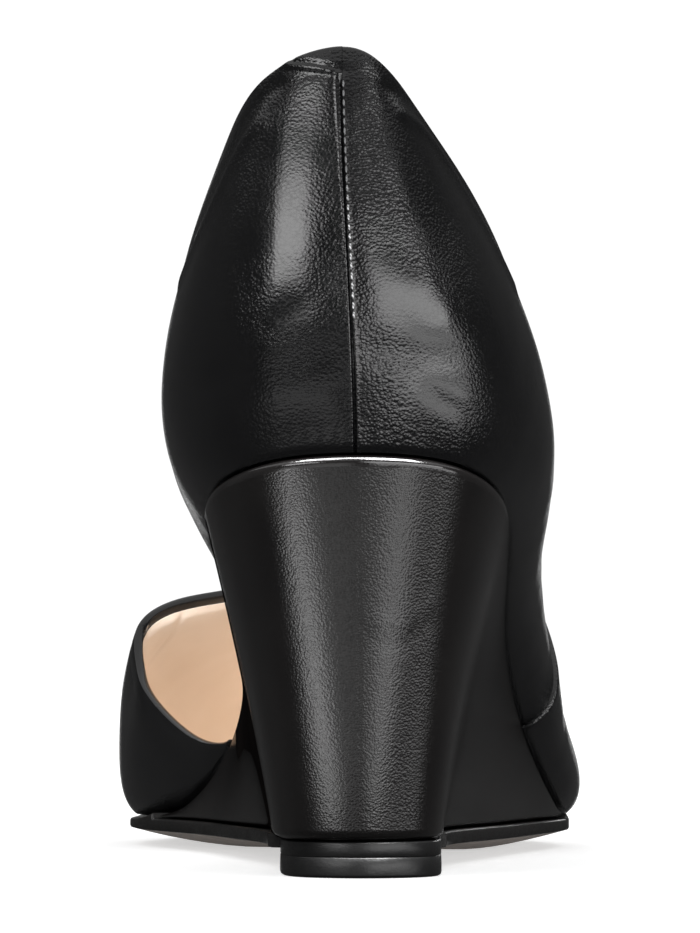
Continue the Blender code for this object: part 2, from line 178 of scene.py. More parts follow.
# Outline of the ground side: top lift, bottom of the wedge and outsole, from the back of the heel
Point = namedtuple("Point", "x y")
GROUND_OUTLINE = [
    Point(1.8, 11.0),
    Point(-9.0, 16.0),
    Point(-12.9, 30.0),
    Point(-13.2, 54.0),
    Point(-20.0, 96.0),
    Point(-29.0, 134.0),
    Point(-37.8, 158.0),
    Point(-40.0, 175.0),
    Point(-34.8, 202.0),
    Point(-19.6, 229.5),
    Point(-6.7, LENGTH),
    Point(8.4, 231.5),
    Point(25.8, 207.0),
    Point(37.7, 175.0),
    Point(39.0, 154.0),
    Point(33.0, 128.0),
    Point(24.5, 94.0),
    Point(16.4, 58.0),
    Point(15.2, 32.0),
    Point(11.8, 16.0),
]

# Outsole along the foot: height of its upper face under the wedge, of its lower edge and of its middle
Tread = namedtuple("Tread", "y top edge middle")
TREAD = [
    Tread(40.0, 6.1, 3.7, 3.6),
    Tread(70.0, 5.8, 3.5, 3.2),
    Tread(100.0, 5.5, 3.2, 2.3),
    Tread(130.0, 5.3, 3.0, 0.8),
    Tread(150.0, 5.2, 3.0, 0.0),
    Tread(188.0, 4.8, 3.0, 0.0),
    Tread(206.0, 6.4, 4.4, 1.6),
    Tread(222.0, 8.7, 6.6, 4.6),
    Tread(240.0, 11.9, 9.8, 8.6),
]

# Creases of the upper, as soft ridges (height above 0) and troughs. Each path runs through points given
# by their distance along the feather line from the back seam, positive to the inner side, and by their
# share of the wall's height.
Crease = namedtuple("Crease", "name height width path")
CREASES = [
    Crease("counter_inner", 0.34, 1.3, ((14, 0.87), (18, 0.84), (22, 0.785), (28, 0.725), (36, 0.69))),
    Crease("collar_inner", -0.40, 1.6, ((12, 0.95), (17, 0.92), (22, 0.87), (28, 0.82), (36, 0.80))),
    Crease("counter_outer", 0.34, 1.2, ((-14, 0.89), (-19, 0.91), (-25, 0.91), (-34, 0.84), (-42, 0.76))),
    Crease("collar_outer", -0.36, 1.4, ((-12, 0.94), (-18, 0.965), (-26, 0.97), (-35, 0.93), (-44, 0.87))),
    Crease("panel_fold_outer", -0.24, 2.6, ((-3, 0.25), (-7, 0.245), (-11, 0.25), (-14, 0.27))),
    Crease("panel_swell_outer", 0.16, 4.5, ((-5, 0.42), (-10, 0.40), (-14, 0.37))),
    Crease("panel_swell_inner", 0.14, 5.0, ((8, 0.70), (9, 0.58), (10, 0.44))),
    Crease("heel_fold_inner", -0.16, 3.2, ((4, 0.24), (12, 0.22), (20, 0.25))),
    Crease("slant_fold_inner", -0.07, 2.4, ((3, 0.40), (10, 0.34), (18, 0.27), (25, 0.24))),
    Crease("panel_fold_low", -0.12, 1.6, ((-8, 0.20), (-12, 0.15), (-17, 0.13))),
]


def curve_through(knots, rows):
    """The natural cubic curve through one row of numbers at each knot."""
    t = np.asarray(knots, float)
    p = np.asarray(rows, float).reshape(len(t), -1)
    h = np.diff(t)
    system = np.eye(len(t))
    right = np.zeros_like(p)
    for i in range(1, len(t) - 1):
        system[i, i - 1 : i + 2] = h[i - 1], 2 * (h[i - 1] + h[i]), h[i]
        right[i] = 6 * ((p[i + 1] - p[i]) / h[i] - (p[i] - p[i - 1]) / h[i - 1])
    bend = np.linalg.solve(system, right)

    def at(value):
        value = np.atleast_1d(np.asarray(value, float))
        i = np.clip(np.searchsorted(t, value) - 1, 0, len(h) - 1)
        done, left, span = (value - t[i])[:, None], (t[i + 1] - value)[:, None], h[i][:, None]
        return (
            (bend[i] * left**3 + bend[i + 1] * done**3) / (6 * span)
            + (p[i] / span - bend[i] * span / 6) * left
            + (p[i + 1] / span - bend[i + 1] * span / 6) * done
        )

    return at


def steady_curve(rows):
    """A table of heights along the foot as a function of y that never overshoots its rows."""
    table = np.array(rows, float)
    y, values = table[:, 0], table[:, 1:]
    slopes = np.diff(values, axis=0) / np.diff(y)[:, None]
    tangents = np.zeros_like(values)
    tangents[0], tangents[-1] = slopes[0], slopes[-1]
    rising = slopes[:-1] * slopes[1:] > 0
    total = np.where(rising, slopes[:-1] + slopes[1:], 1)
    tangents[1:-1] = np.where(rising, 2 * slopes[:-1] * slopes[1:] / total, 0)

    def at(value):
        value = np.atleast_1d(np.asarray(value, float))
        i = np.clip(np.searchsorted(y, value) - 1, 0, len(y) - 2)
        span = (y[i + 1] - y[i])[:, None]
        s = np.clip((value[:, None] - y[i][:, None]) / span, 0, 1)
        return (
            values[i] * (1 + 2 * s) * (1 - s) ** 2
            + values[i + 1] * s**2 * (3 - 2 * s)
            + tangents[i] * span * s * (1 - s) ** 2
            + tangents[i + 1] * span * s**2 * (s - 1)
        )

    return at


class Outline:
    """A smooth closed curve in plan through a table's points. u is the distance along it from the first."""

    WRAP = 4
    STEPS = 4000

    def __init__(self, points):
        p = np.array([(q.x, q.y) for q in points])
        ring = np.concatenate([p[-self.WRAP :], p, p[: self.WRAP + 1]])
        knots = np.concatenate([[0], np.cumsum(np.linalg.norm(np.diff(ring, axis=0), axis=1))])
        knots -= knots[self.WRAP]
        self.at = curve_through(knots, ring)
        self.stations = knots[self.WRAP : self.WRAP + len(p)]
        self.around = knots[self.WRAP + len(p)]
        u = np.linspace(0, self.around, self.STEPS, endpoint=False)
        p = self.at(u)
        area = np.sum(p[:, 0] * np.roll(p[:, 1], -1) - np.roll(p[:, 0], -1) * p[:, 1])
        self.turn = -math.copysign(1, area)
        back, toe = np.argmin(p[:, 1]), np.argmax(p[:, 1])
        self.back, self.toe = p[back, 1], p[toe, 1]
        order = np.roll(np.arange(self.STEPS), -back)
        split = (toe - back) % self.STEPS
        one, other = order[: split + 1], np.concatenate([order[split:], order[:1]])[::-1]
        rows = sorted((one, other), key=lambda row: p[row, 0].mean())
        self.side_rows = [(p[row, 1], self.unrolled(u[row])) for row in rows]

    def unrolled(self, u):
        """The same stations without the jump where the curve closes."""
        turns = 2 * math.pi / self.around
        return np.unwrap(u * turns) / turns

    def outward(self, u, reach=0.5):
        """Unit vectors in plan that point out of the outline."""
        along = self.at(np.asarray(u) + reach) - self.at(np.asarray(u) - reach)
        across = np.stack([-along[:, 1], along[:, 0]], axis=1) * self.turn
        return across / np.linalg.norm(across, axis=1)[:, None]

    def edges(self, y):
        """Stations of the inner and of the outer edge at y."""
        return [np.interp(y, row_y, row_u) % self.around for row_y, row_u in self.side_rows]


FEATHER = Outline(SECTIONS)
GROUND = Outline(GROUND_OUTLINE)
feather_height = steady_curve(FEATHER_HEIGHTS)
tread_heights = steady_curve(TREAD)
WALLED = [s for s in SECTIONS if s.top]
wall_columns = curve_through(
    FEATHER.stations[: len(WALLED)],
    [(*s.top, s.foot_lean, s.foot_reach, s.top_lean, s.top_reach) for s in WALLED],
)


def station(name):
    """Where along the feather line a section stands."""
    return FEATHER.stations[[s.name for s in SECTIONS].index(name)]


def unit(vectors):
    return vectors / np.linalg.norm(vectors, axis=-1)[..., None]


def feather_points(u):
    """The feather line in space."""
    p = FEATHER.at(u)
    return np.column_stack([p, feather_height(p[:, 1])])


def wall_heights(u):
    """Straight height of the wall from the feather line to the upper's edge."""
    return np.linalg.norm(wall_columns(u)[:, :3] - feather_points(u), axis=1)


def wall_surface(u, v):
    """The outside of the lasted upper: u along the feather line, v from 0 there to 1 at the upper's edge."""
    u = np.atleast_1d(u)
    v = np.broadcast_to(v, (len(u), np.shape(v)[-1]))
    foot = feather_points(u)
    columns = wall_columns(u)
    top = columns[:, :3]
    out = np.column_stack([FEATHER.outward(u), np.zeros(len(u))])
    up = np.array([0.0, 0.0, 1.0])
    height = np.linalg.norm(top - foot, axis=1)[:, None]
    foot_lean, top_lean = np.radians(columns[:, 3:4]), np.radians(columns[:, 5:6])
    foot_arm = height * columns[:, 4:5] * (np.sin(foot_lean) * out + np.cos(foot_lean) * up)
    top_arm = height * columns[:, 6:7] * (np.sin(top_lean) * out - np.cos(top_lean) * up)
    corners = [foot, foot + foot_arm, top + top_arm, top]
    weights = [(1 - v) ** 3, 3 * v * (1 - v) ** 2, 3 * v**2 * (1 - v), v**3]
    return sum(w[:, :, None] * c[:, None, :] for w, c in zip(weights, corners))


def wall_normals(u, v, reach=0.02, lift=0.004):
    """Outward unit normals of the upper's outside."""
    along = wall_surface(u + reach, v) - wall_surface(u - reach, v)
    upward = wall_surface(u, np.minimum(v + lift, 1)) - wall_surface(u, np.maximum(v - lift, 0))
    return unit(np.cross(upward, along))


def table_shift():
    """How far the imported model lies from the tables: by the lift's front edge and the outsole's middle."""
    low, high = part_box("outsole")
    sides = GROUND.at(np.linspace(0, GROUND.around, GROUND.STEPS))[:, 0]
    x = (low.x + high.x) / 2 / MM - (sides.min() + sides.max()) / 2
    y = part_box("top_lift")[1].y / MM - LIFT_FRONT
    return np.array([x, y, 0.0])


SHIFT = table_shift()


def to_row(points):
    """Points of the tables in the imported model's frame, in metres."""
    return (np.asarray(points, float) + SHIFT) * MM


# Surface relief of the upper


def bump_at(distance, width):
    """A soft bump across a line: 1 on it, fading out over its width."""
    return np.exp(-((distance / width) ** 2))


def step_at(distance, width, steepness=4):
    """A soft step across a line: 0 before it, 1 beyond it."""
    return 1 / (1 + np.exp(-steepness * distance / width))


def distance_to_path(points, path):
    """Distance of each point to a polyline in space."""
    shape = points.shape[:-1]
    p = points.reshape(-1, 3)
    nearest = np.full(len(p), np.inf)
    for a, b in zip(path[:-1], path[1:]):
        along = b - a
        share = np.clip((p - a) @ along / (along @ along), 0, 1)
        nearest = np.minimum(nearest, np.linalg.norm(p - a - share[:, None] * along, axis=1))
    return nearest.reshape(shape)


def wall_path(stops, count=24):
    """A smooth line on the upper through stops of distance from the back seam and share of the height."""
    rows = np.array(stops, float)
    line = curve_through(np.arange(len(rows)), rows)(np.linspace(0, len(rows) - 1, count))
    return wall_surface(station("heel") + line[:, 0], line[:, 1:])[:, 0]


def lap(u):
    """How far the vamp stands proud of the last near the seam where it laps over the quarter."""
    ahead = station("lap_seam") - u
    fade = np.clip(1 - ahead / LAP_FADE, 0, 1)
    edge = np.sqrt(1 - (1 - np.clip(ahead / LAP_ROUND, 0, 1)) ** 2)
    return np.where(ahead > 0, LAP_STEP * fade * edge, 0.0)


# The back seam. SEAM_ROW_SIDES: how far to the inner side its second row runs at a share of the height.
SEAM_SHIFT = 0.25
SEAM_GROOVE, SEAM_GROOVE_WIDTH = 0.48, 0.24
SEAM_RIDGE, SEAM_RIDGE_WIDTH, SEAM_RIDGE_SIDE = 0.12, 0.34, 0.42
SEAM_ROW, SEAM_ROW_WIDTH, SEAM_ROW_SIDES = 0.08, 0.22, ((0.35, 0.55), (0.45, 0.62), (0.85, 0.9))
SEAM_START, SEAM_EASE = 4.2, 1.6
# The turned top of the inner quarter, which ends at the seam
TAIL_STEP, TAIL_STEP_WIDTH = 0.34, 0.35
TAIL_DEPTH, TAIL_REACH, TAIL_BOW = 5.0, 10.5, 0.8
TAIL_SIDE, TAIL_SIDE_WIDTH, TAIL_FADE = 0.2, 0.5, 2.0
TAIL_GROOVE, TAIL_GROOVE_RISE, TAIL_GROOVE_WIDTH = 0.28, 1.0, 0.3
# Lasting puckers along the feather line: their pitch drifts, and their height comes and goes
PUCKER, PUCKER_PITCH, PUCKER_RISE, PUCKER_REACH = 0.05, 2.3, 1.5, 2.0
PUCKER_DRIFT, PUCKER_DRIFT_LENGTH, PUCKER_LEAST, PUCKER_LENGTH = 1.4, 7.3, 0.4, 13.0
# Heights of the leather's waves, and how far from its edges they fade
SLOW_WAVES, FAST_WAVES, WAVES_FADE = 0.09, 0.045, 4.0


def seam_side(u, v, surface):
    """Distance from the back seam across the heel, positive to the outer side."""
    seam = wall_surface(station("heel"), v[len(v) // 2])[0]
    distance = np.linalg.norm(surface - seam[None], axis=2)
    return distance * np.sign(station("heel") - u)[:, None] + SEAM_SHIFT


def back_seam(side, v, below):
    """The groove of the back seam, the turned edge on its outer side and the row that joins it from above."""
    groove = -SEAM_GROOVE * bump_at(side, SEAM_GROOVE_WIDTH)
    ridge = SEAM_RIDGE * bump_at(side - SEAM_RIDGE_SIDE, SEAM_RIDGE_WIDTH)
    away, share = np.array(SEAM_ROW_SIDES).T
    row = SEAM_ROW * bump_at(side + np.interp(v, share, away), SEAM_ROW_WIDTH)
    return (groove + ridge + row) * np.clip((below - SEAM_START) / SEAM_EASE, 0, 1)


def tail_line(side):
    """Depth below the edge at which the turned top of the quarter ends, on the inner side of the seam."""
    return TAIL_DEPTH * np.clip(1 + side / TAIL_REACH, 0, 1) ** TAIL_BOW


def unevenness(p):
    """The slight waviness of lasted leather, in waves whose lengths in millimetres never fall in step."""
    x, y, z = p[..., 0], p[..., 1], p[..., 2]
    slow = np.sin(x / 6.1 + 1.7 * np.sin(z / 8.3 + 0.4) + 0.6) * np.sin(z / 7.2 + y / 9.7 + 1.1)
    fast = np.sin(z / 3.1 + 1.3 * np.sin(x / 4.7 + y / 6.3)) * np.sin(x / 2.9 + y / 3.7 + 0.8)
    return SLOW_WAVES * slow + FAST_WAVES * fast


def upper_relief(u, v, surface):
    """Seams, creases, folded edge and puckers of the upper, in millimetres out of its smooth form."""
    height = wall_heights(u)[:, None]
    above, below = v * height, (1 - v) * height
    side = seam_side(u, v, surface)
    relief = unevenness(surface) * np.clip(above / WAVES_FADE, 0, 1) * np.clip(below / WAVES_FADE, 0, 1)
    relief += back_seam(side, v, below)
    above_tail = tail_line(side) - below
    tail = TAIL_STEP * step_at(above_tail, TAIL_STEP_WIDTH)
    tail -= TAIL_GROOVE * bump_at(above_tail - TAIL_GROOVE_RISE, TAIL_GROOVE_WIDTH)
    on_inner_side = step_at(TAIL_SIDE - side, TAIL_SIDE_WIDTH)
    relief += tail * on_inner_side * np.clip((side + TAIL_REACH) / TAIL_FADE, 0, 1)
    relief -= FOLD_GROOVE * bump_at(below - COLLAR, FOLD_GROOVE_WIDTH)
    relief -= COLLAR_LEAN * np.clip(1 - below / COLLAR, 0, 1) ** 2
    for crease in CREASES:
        relief += crease.height * bump_at(distance_to_path(surface, wall_path(crease.path)), crease.width)
    drift = PUCKER_DRIFT * np.sin(u / PUCKER_DRIFT_LENGTH)
    wave = np.sin(2 * math.pi * u / PUCKER_PITCH + drift)[:, None]
    strength = PUCKER_LEAST + (1 - PUCKER_LEAST) * np.sin(u / PUCKER_LENGTH)[:, None] ** 2
    relief += PUCKER * strength * wave * bump_at(above - PUCKER_RISE, PUCKER_REACH)
    return relief - FOOT_TUCK * bump_at(above, FOOT_TUCK_REACH)


# Meshes


def tube_faces(index):
    """Faces between closed rings of point numbers."""
    beside = np.roll(index, -1, axis=1)
    return np.stack([index[:-1], beside[:-1], beside[1:], index[1:]], axis=2).reshape(-1, 4).tolist()


def loft(name, rings, materials, caps=(True, True), paint=None):
    """One closed solid through a row of closed rings, with a cap where an end doesn't run to a line.

    paint says for each place round a ring whether its faces have the second material.
    """
    count, around, _ = rings.shape
    index = np.arange(count * around).reshape(count, around)
    quads = tube_faces(index)
    ends = index[0, ::-1].tolist(), index[-1].tolist()
    faces = quads + [end for end, cap in zip(ends, caps) if cap]
    mesh = bpy.data.meshes.new(name)
    mesh.from_pydata(to_row(rings.reshape(-1, 3)).tolist(), [], faces)
    if paint is not None:
        chosen = np.zeros(len(faces), np.int32)
        chosen[: len(quads)] = np.tile(paint(np.arange(around)), count - 1)
        mesh.polygons.foreach_set("material_index", chosen)
    weld(mesh)
    return finish_piece(name, mesh, materials)


def weld(mesh):
    """Joins points that coincide, such as those of a ring that has run to a line."""
    made = bmesh.new()
    made.from_mesh(mesh)
    bmesh.ops.remove_doubles(made, verts=made.verts, dist=WELD * MM)
    made.to_mesh(mesh)
    made.free()


def put(name, data):
    """A new object in the scene."""
    made = bpy.data.objects.new(name, data)
    bpy.context.scene.collection.objects.link(made)
    return made


def finish_piece(name, mesh, materials):
    """Turns a closed mesh outward, shades it and makes it ride."""
    mesh.calc_loop_triangles()
    points = np.array([v.co for v in mesh.vertices])
    corners = points[np.array([t.vertices for t in mesh.loop_triangles])]
    if np.linalg.det(corners - points.mean(axis=0)).sum() < 0:
        mesh.flip_normals()
    mesh.shade_smooth()
    mesh.set_sharp_from_angle(angle=math.radians(SHARP_ANGLE))
    for material in materials:
        mesh.materials.append(material)
    piece = put(name, mesh)
    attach(piece, "root")
    return piece


def upper_ribs():
    """Stations along the feather line, closer at the back seam and at the edge of the lapped seam."""
    first, lapped = station("vamp_tip"), station("lap_seam")
    heel, last = station("heel"), station("quarter_tip")
    t = np.linspace(-1, 1, SEAM_RIBS)
    rows = [
        np.linspace(first, last, round((last - first) / RIB_SPACING)),
        heel + SEAM_RIBS_REACH * t * np.abs(t) ** SEAM_RIBS_DRAW,
        np.arange(heel + SEAM_RIBS_REACH, heel + TAIL_REACH, TAIL_RIB_SPACING),
        lapped - LAP_ROUND * (1 - np.cos(np.linspace(LAP_RIBS_FIRST, math.pi / 2, LAP_RIBS))),
        lapped + np.array(LAP_RIBS_BEHIND),
    ]
    u = np.unique(np.concatenate(rows))
    apart = np.concatenate([[True], np.diff(u) > RIB_MERGE])
    return u[apart]


def eased_rows(count):
    """Shares from 0 to 1, a little closer together at both ends."""
    s = np.linspace(0, 1, count)
    return (1 - RIB_EDGE_EASE) * s + RIB_EDGE_EASE * (1 - np.cos(math.pi * s)) / 2


def upper_leather(material):
    """The black outside of the upper, rolled over its edge and folded to the inside."""
    u = upper_ribs()
    full = (1 - ROLL / wall_heights(u))[:, None]
    v = eased_rows(OUTSIDE_ROWS)[None, :] * full
    surface, normal = wall_surface(u, v), wall_normals(u, v)
    out = lap(u)[:, None] + upper_relief(u, v, surface)
    outside = surface + out[:, :, None] * normal
    v_inside = eased_rows(INSIDE_ROWS)[None, ::-1] * full
    inside = wall_surface(u, v_inside) - WALL * wall_normals(u, v_inside)
    plan_out = np.column_stack([FEATHER.outward(u), np.zeros(len(u))])
    inside[:, -1] = surface[:, 0] - WALL * plan_out
    upward = unit(surface[:, -1] - surface[:, -2])
    middle, arm = (outside[:, -1] + inside[:, 0]) / 2, (outside[:, -1] - inside[:, 0]) / 2
    turn = np.linspace(0, math.pi, EDGE_ROWS)[1:-1]
    rolled = [middle + math.cos(t) * arm + math.sin(t) * ROLL * upward for t in turn]
    rings = np.concatenate([outside, np.stack(rolled, axis=1), inside], axis=1)
    piece = loft("upper_leather", rings, [material])
    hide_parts("upper")


def low_inside(u):
    """The upper's inside near its foot: how far it reaches out of the feather line and above it."""
    v = np.linspace(0, LOW_SHARE, LOW_ROWS)
    inside = wall_surface(u, v) - WALL * wall_normals(u, v)
    foot, out = feather_points(u), FEATHER.outward(u)
    reach = ((inside[:, :, :2] - foot[:, None, :2]) * out[:, None]).sum(axis=2)
    return v, reach, inside[:, :, 2] - foot[:, None, 2]


def lining_foot(u, clear):
    """Share of the wall's height at which its inside stands clear of the sock."""
    v, _, rise = low_inside(u)
    return np.array([np.interp(clear, row, v) for row in rise])


def wall_inset(u, height):
    """How far inside the feather line the upper's inside stands at a height above it."""
    _, reach, rise = low_inside(np.minimum(u, station("quarter_tip")))
    return np.array([-np.interp(height, r, x) for r, x in zip(rise, reach)])


LINING_RIBS, LINING_NEAR_ROWS, LINING_ROWS = 330, 12, 80
LINING_END, LINING_LEAST, LINING_TAPER, LINING_THINNEST = 0.3, 0.02, 2.5, 0.1
LINING_WAVES, LINING_WAVE_SCALE = 0.5, 1.4
# The seam's path is given as a crease's is, and its ribs as start, end and spacing from the back seam
LINING_SEAM = (
    (-292.9, 0.970), (-290.6, 0.920), (-288.9, 0.870), (-289.0, 0.830),
    (-290.6, 0.790), (-294.9, 0.745), (-301.0, 0.710),
)
LINING_SEAM_DEPTH, LINING_SEAM_WIDTH = 0.24, 0.8
LINING_SEAM_RIBS = (-303.0, -286.0, 0.45)


def upper_lining(material):
    """The tan lining inside the upper, seamed at the toe, that thins out under the folded edge."""
    u = np.linspace(station("vamp_tip") + LINING_END, station("quarter_tip") - LINING_END, LINING_RIBS)
    u = np.unique(np.concatenate([u, station("heel") + np.arange(*LINING_SEAM_RIBS)]))
    heights = wall_heights(u)
    low = lining_foot(u, INSOLE_THICK)
    high = np.maximum(1 - FOLD_DEPTH / heights, low + LINING_LEAST)

    def shares(rows):
        return low[:, None] + (high - low)[:, None] * eased_rows(rows)[None, :]

    v = shares(LINING_NEAR_ROWS)
    near = wall_surface(u, v) - (WALL + LINING_GAP) * wall_normals(u, v)
    v = shares(LINING_ROWS)
    surface = wall_surface(u, v)
    thick = LINING_THICK + LINING_WAVES * unevenness(LINING_WAVE_SCALE * surface)
    seam = distance_to_path(surface, wall_path(LINING_SEAM))
    thick -= LINING_SEAM_DEPTH * bump_at(seam, LINING_SEAM_WIDTH)
    thick *= np.clip((high[:, None] - v) * heights[:, None] / LINING_TAPER, LINING_THINNEST, 1)
    far = surface - (WALL + LINING_GAP + thick)[:, :, None] * wall_normals(u, v)
    rings = np.concatenate([near, far[:, ::-1]], axis=1)
    return loft("upper_lining", rings, [material])


def corner(distance, radius):
    """How far a rounded edge is drawn in at a distance from it."""
    left = np.clip(radius - distance, 0, radius)
    return radius - np.sqrt(np.maximum(radius**2 - left**2, 0))


def eased(count, start, end, round_end=True):
    """Stations along the foot, drawn together at the back and, if it is round, at the front."""
    s = np.linspace(0, 1, count)
    s = (1 - np.cos(math.pi * s)) / 2 if round_end else 1 - np.cos(math.pi / 2 * s)
    return start + (end - start) * s


def edge_rows(outline, y, insets, heights):
    """Points down the inner and the outer edge of a flat piece: one row for each inset and height.

    An inset or height that differs between the two edges is a pair.
    """
    sides = []
    for side, u in enumerate(outline.edges(y)):
        points, out = outline.at(u), outline.outward(u)
        rows = []
        for row in zip(insets, heights):
            inset, z = (value[side] if isinstance(value, tuple) else value for value in row)
            plan = points - np.broadcast_to(inset, len(y))[:, None] * out
            rows.append(np.column_stack([plan, np.broadcast_to(z, len(y))]))
        sides.append(np.stack(rows, axis=1))
    return sides


def slab_rings(inner, outer, across, lower_face=None):
    """Closed rings across a flat piece from its two edges, with a row of points over and under."""
    shares = np.linspace(-1, 1, across)[1:-1]
    faces = []
    for row in (0, -1):
        a, b = inner[:, row], outer[:, row]
        faces.append((a + b)[:, None] / 2 + (b - a)[:, None] / 2 * shares[None, :, None])
    over, under = faces
    if lower_face is not None:
        under[:, :, 2] = lower_face(under, shares)
    return np.concatenate([over, outer, under[:, ::-1], inner[:, ::-1]], axis=1)


# Rows down the board's edge: height as a share of the board's, spread toward the sock's outline, and inset
BoardRow = namedtuple("BoardRow", "height spread inset")
BOARD_ROWS = [
    BoardRow(1.0, 1.0, 0.25),
    BoardRow(0.85, 0.6, 0.0),
    BoardRow(0.4, 0.25, 0.0),
    BoardRow(0.1, 0.0, 0.0),
    BoardRow(0.0, 0.0, 0.25),
]
# Rows down an edge: distance from the upper face, or for low rows from the lower one, and inset
EdgeRow = namedtuple("EdgeRow", "depth inset")
SOCK_ROWS = [EdgeRow(0.0, 0.35), EdgeRow(0.12, 0.1), EdgeRow(0.35, 0.0), EdgeRow(0.58, 0.0)]
SOLE_ROWS = [EdgeRow(0.0, 0.9), EdgeRow(0.02, 0.45), EdgeRow(0.135, 0.135), EdgeRow(0.45, 0.0)]
SOLE_LOW_ROWS = [EdgeRow(0.45, 0.0), EdgeRow(0.135, 0.135), EdgeRow(0.0, 0.63)]


def cut_out(y, ease):
    """1 along the cut-out at the arch, fading to 0 toward its two ends."""
    return np.clip((y - CUT_OUT_BACK) / ease, 0, 1) * np.clip((CUT_OUT_FRONT - y) / ease, 0, 1)


def insole(board_material, sock_material):
    """The insole board with its black edge, and the tan sock glued on it."""
    y = eased(SOLE_STATIONS, FEATHER.back, FEATHER.toe)
    z = feather_height(y)[:, 0]
    opened, rimmed = cut_out(y, CUT_OUT_EASE), cut_out(y, CUT_OUT_RIM_EASE)
    edges = FEATHER.edges(y)
    foot = WALL + GAP
    leans = [np.radians(wall_columns(np.minimum(u, station("quarter_tip")))[:, 3]) for u in edges]
    inner, outer = (foot - SOCK_SPREAD * np.tan(lean / 2) for lean in leans)
    low = foot + (GAP - foot) * opened, np.full(len(y), foot)
    high = inner + (GAP - inner) * opened, outer
    board_top = INSOLE_THICK - SOCK_THICK
    insets = []
    for row in BOARD_ROWS:
        share = row.spread * board_top / INSOLE_THICK
        insets.append(tuple(a + (b - a) * share + row.inset for a, b in zip(low, high)))
    heights = [z + row.height * board_top for row in BOARD_ROWS]
    rings = slab_rings(*edge_rows(FEATHER, y, insets, heights), BOARD_COLUMNS)
    board = loft("insole_board", rings, [board_material], caps=(False, False))
    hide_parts("insole")
    insets = []
    for row in SOCK_ROWS:
        inner, outer = (wall_inset(u, INSOLE_THICK - row.depth) + SOCK_CLEAR + row.inset for u in edges)
        rim = GAP + SOCK_INSET + CUT_OUT_RIM * rimmed + row.inset
        insets.append((inner + (rim - inner) * opened, outer))
    heights = [z + INSOLE_THICK - row.depth for row in SOCK_ROWS]
    rings = slab_rings(*edge_rows(FEATHER, y, insets, heights), SOCK_COLUMNS)
    return loft("sock_lining", rings, [sock_material], caps=(False, False))


RIM_ROUND, FOOT_ROUND = 1.2, 0.7
RIM_EASE, RIM_EASE_REACH, RIM_SHARE, RIM_DRAW = 0.16, 1.8, 0.032, 1.3
WEDGE_WAVES_DEPTH = 20.0


def wedge_cover(material, rim_material):
    """The leather-covered wedge: a rounded rim under the upper, flanks drawn in a little, a rounded foot."""
    y_seat = eased(SOLE_STATIONS, FEATHER.back, WEDGE_FRONT, round_end=False)
    y_ground = eased(SOLE_STATIONS, GROUND.back, WEDGE_FRONT, round_end=False)
    z_seat = feather_height(y_seat)[:, 0] - GAP
    z_ground = tread_heights(y_ground)[:, 0] + GAP
    z_ground[y_ground < LIFT_FRONT + 2 * GAP] = LIFT_HEIGHT + GAP
    rim_shares = RIM_SHARE * np.linspace(0, 1, RIM_ROWS, endpoint=False) ** RIM_DRAW
    shares = np.concatenate([rim_shares, RIM_SHARE + (1 - RIM_SHARE) * eased_rows(FLANK_ROWS)])
    sides = []
    for seat_u, ground_u, inward in zip(FEATHER.edges(y_seat), GROUND.edges(y_ground), (1, -1)):
        seat_out, ground_out = FEATHER.outward(seat_u), GROUND.outward(ground_u)
        seat = np.column_stack([FEATHER.at(seat_u) + WEDGE_RIM * seat_out, z_seat])
        ground = np.column_stack([GROUND.at(ground_u) - WEDGE_INSET * ground_out, z_ground])
        depth = (z_seat - z_ground)[:, None]
        points = seat[:, None] + (ground - seat)[:, None] * shares[None, :, None]
        hollow = WEDGE_WAIST * np.clip(depth / HEEL_HEIGHT, 0, 1) * np.sin(math.pi * shares)[None, :]
        points[:, :, 0] += inward * hollow
        part = shares[None, :, None]
        out = unit(seat_out[:, None] * (1 - part) + ground_out[:, None] * part)
        rim, foot = np.minimum(RIM_ROUND, depth / 2), np.minimum(FOOT_ROUND, depth / 2)
        drawn_in = corner(shares[None, :] * depth, rim) + corner((1 - shares)[None, :] * depth, foot)
        drawn_in += RIM_EASE * np.clip(1 - shares[None, :] * depth / RIM_EASE_REACH, 0, 1) ** 2
        drawn_in -= wedge_relief(points) * np.clip(depth / WEDGE_WAVES_DEPTH, 0, 1)
        points[:, :, :2] -= drawn_in[:, :, None] * out
        sides.append(points)
    rings = slab_rings(*sides, WEDGE_COLUMNS)

    def paint(place):
        outer_rim = (place >= WEDGE_COLUMNS - 2) & (place < WEDGE_COLUMNS - 2 + RIM_ROWS)
        return outer_rim | (place >= rings.shape[1] - RIM_ROWS)

    materials = [material, rim_material]
    piece = loft("wedge_cover", rings, materials, caps=(False, True), paint=paint)
    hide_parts("wedge")
    return piece


WEDGE_CREASE = ((2.6, 39.2), (7.7, 37.6), (12.8, 41.6))
WEDGE_CREASE_RISE, WEDGE_CREASE_WIDTH, WEDGE_CREASE_BACK = 0.09, 0.9, 20.0
WEDGE_TROUGH_DROP = 1.35
WEDGE_WAVES, WEDGE_WAVE_SCALE = 0.4, (0.8, 0.8, 0.35)


def wedge_relief(points):
    """The cover's slight waviness, with one soft crease on the outer side of its back."""
    line = np.array([(x, 0.0, z) for x, z in WEDGE_CREASE])
    at_back = points * (1, 0, 1)
    ridge = bump_at(distance_to_path(at_back, line), WEDGE_CREASE_WIDTH)
    trough = bump_at(distance_to_path(at_back, line - (0, 0, WEDGE_TROUGH_DROP)), WEDGE_CREASE_WIDTH)
    crease = WEDGE_CREASE_RISE * (ridge - trough) * (points[..., 1] < WEDGE_CREASE_BACK)
    return WEDGE_WAVES * unevenness(points * WEDGE_WAVE_SCALE) + crease


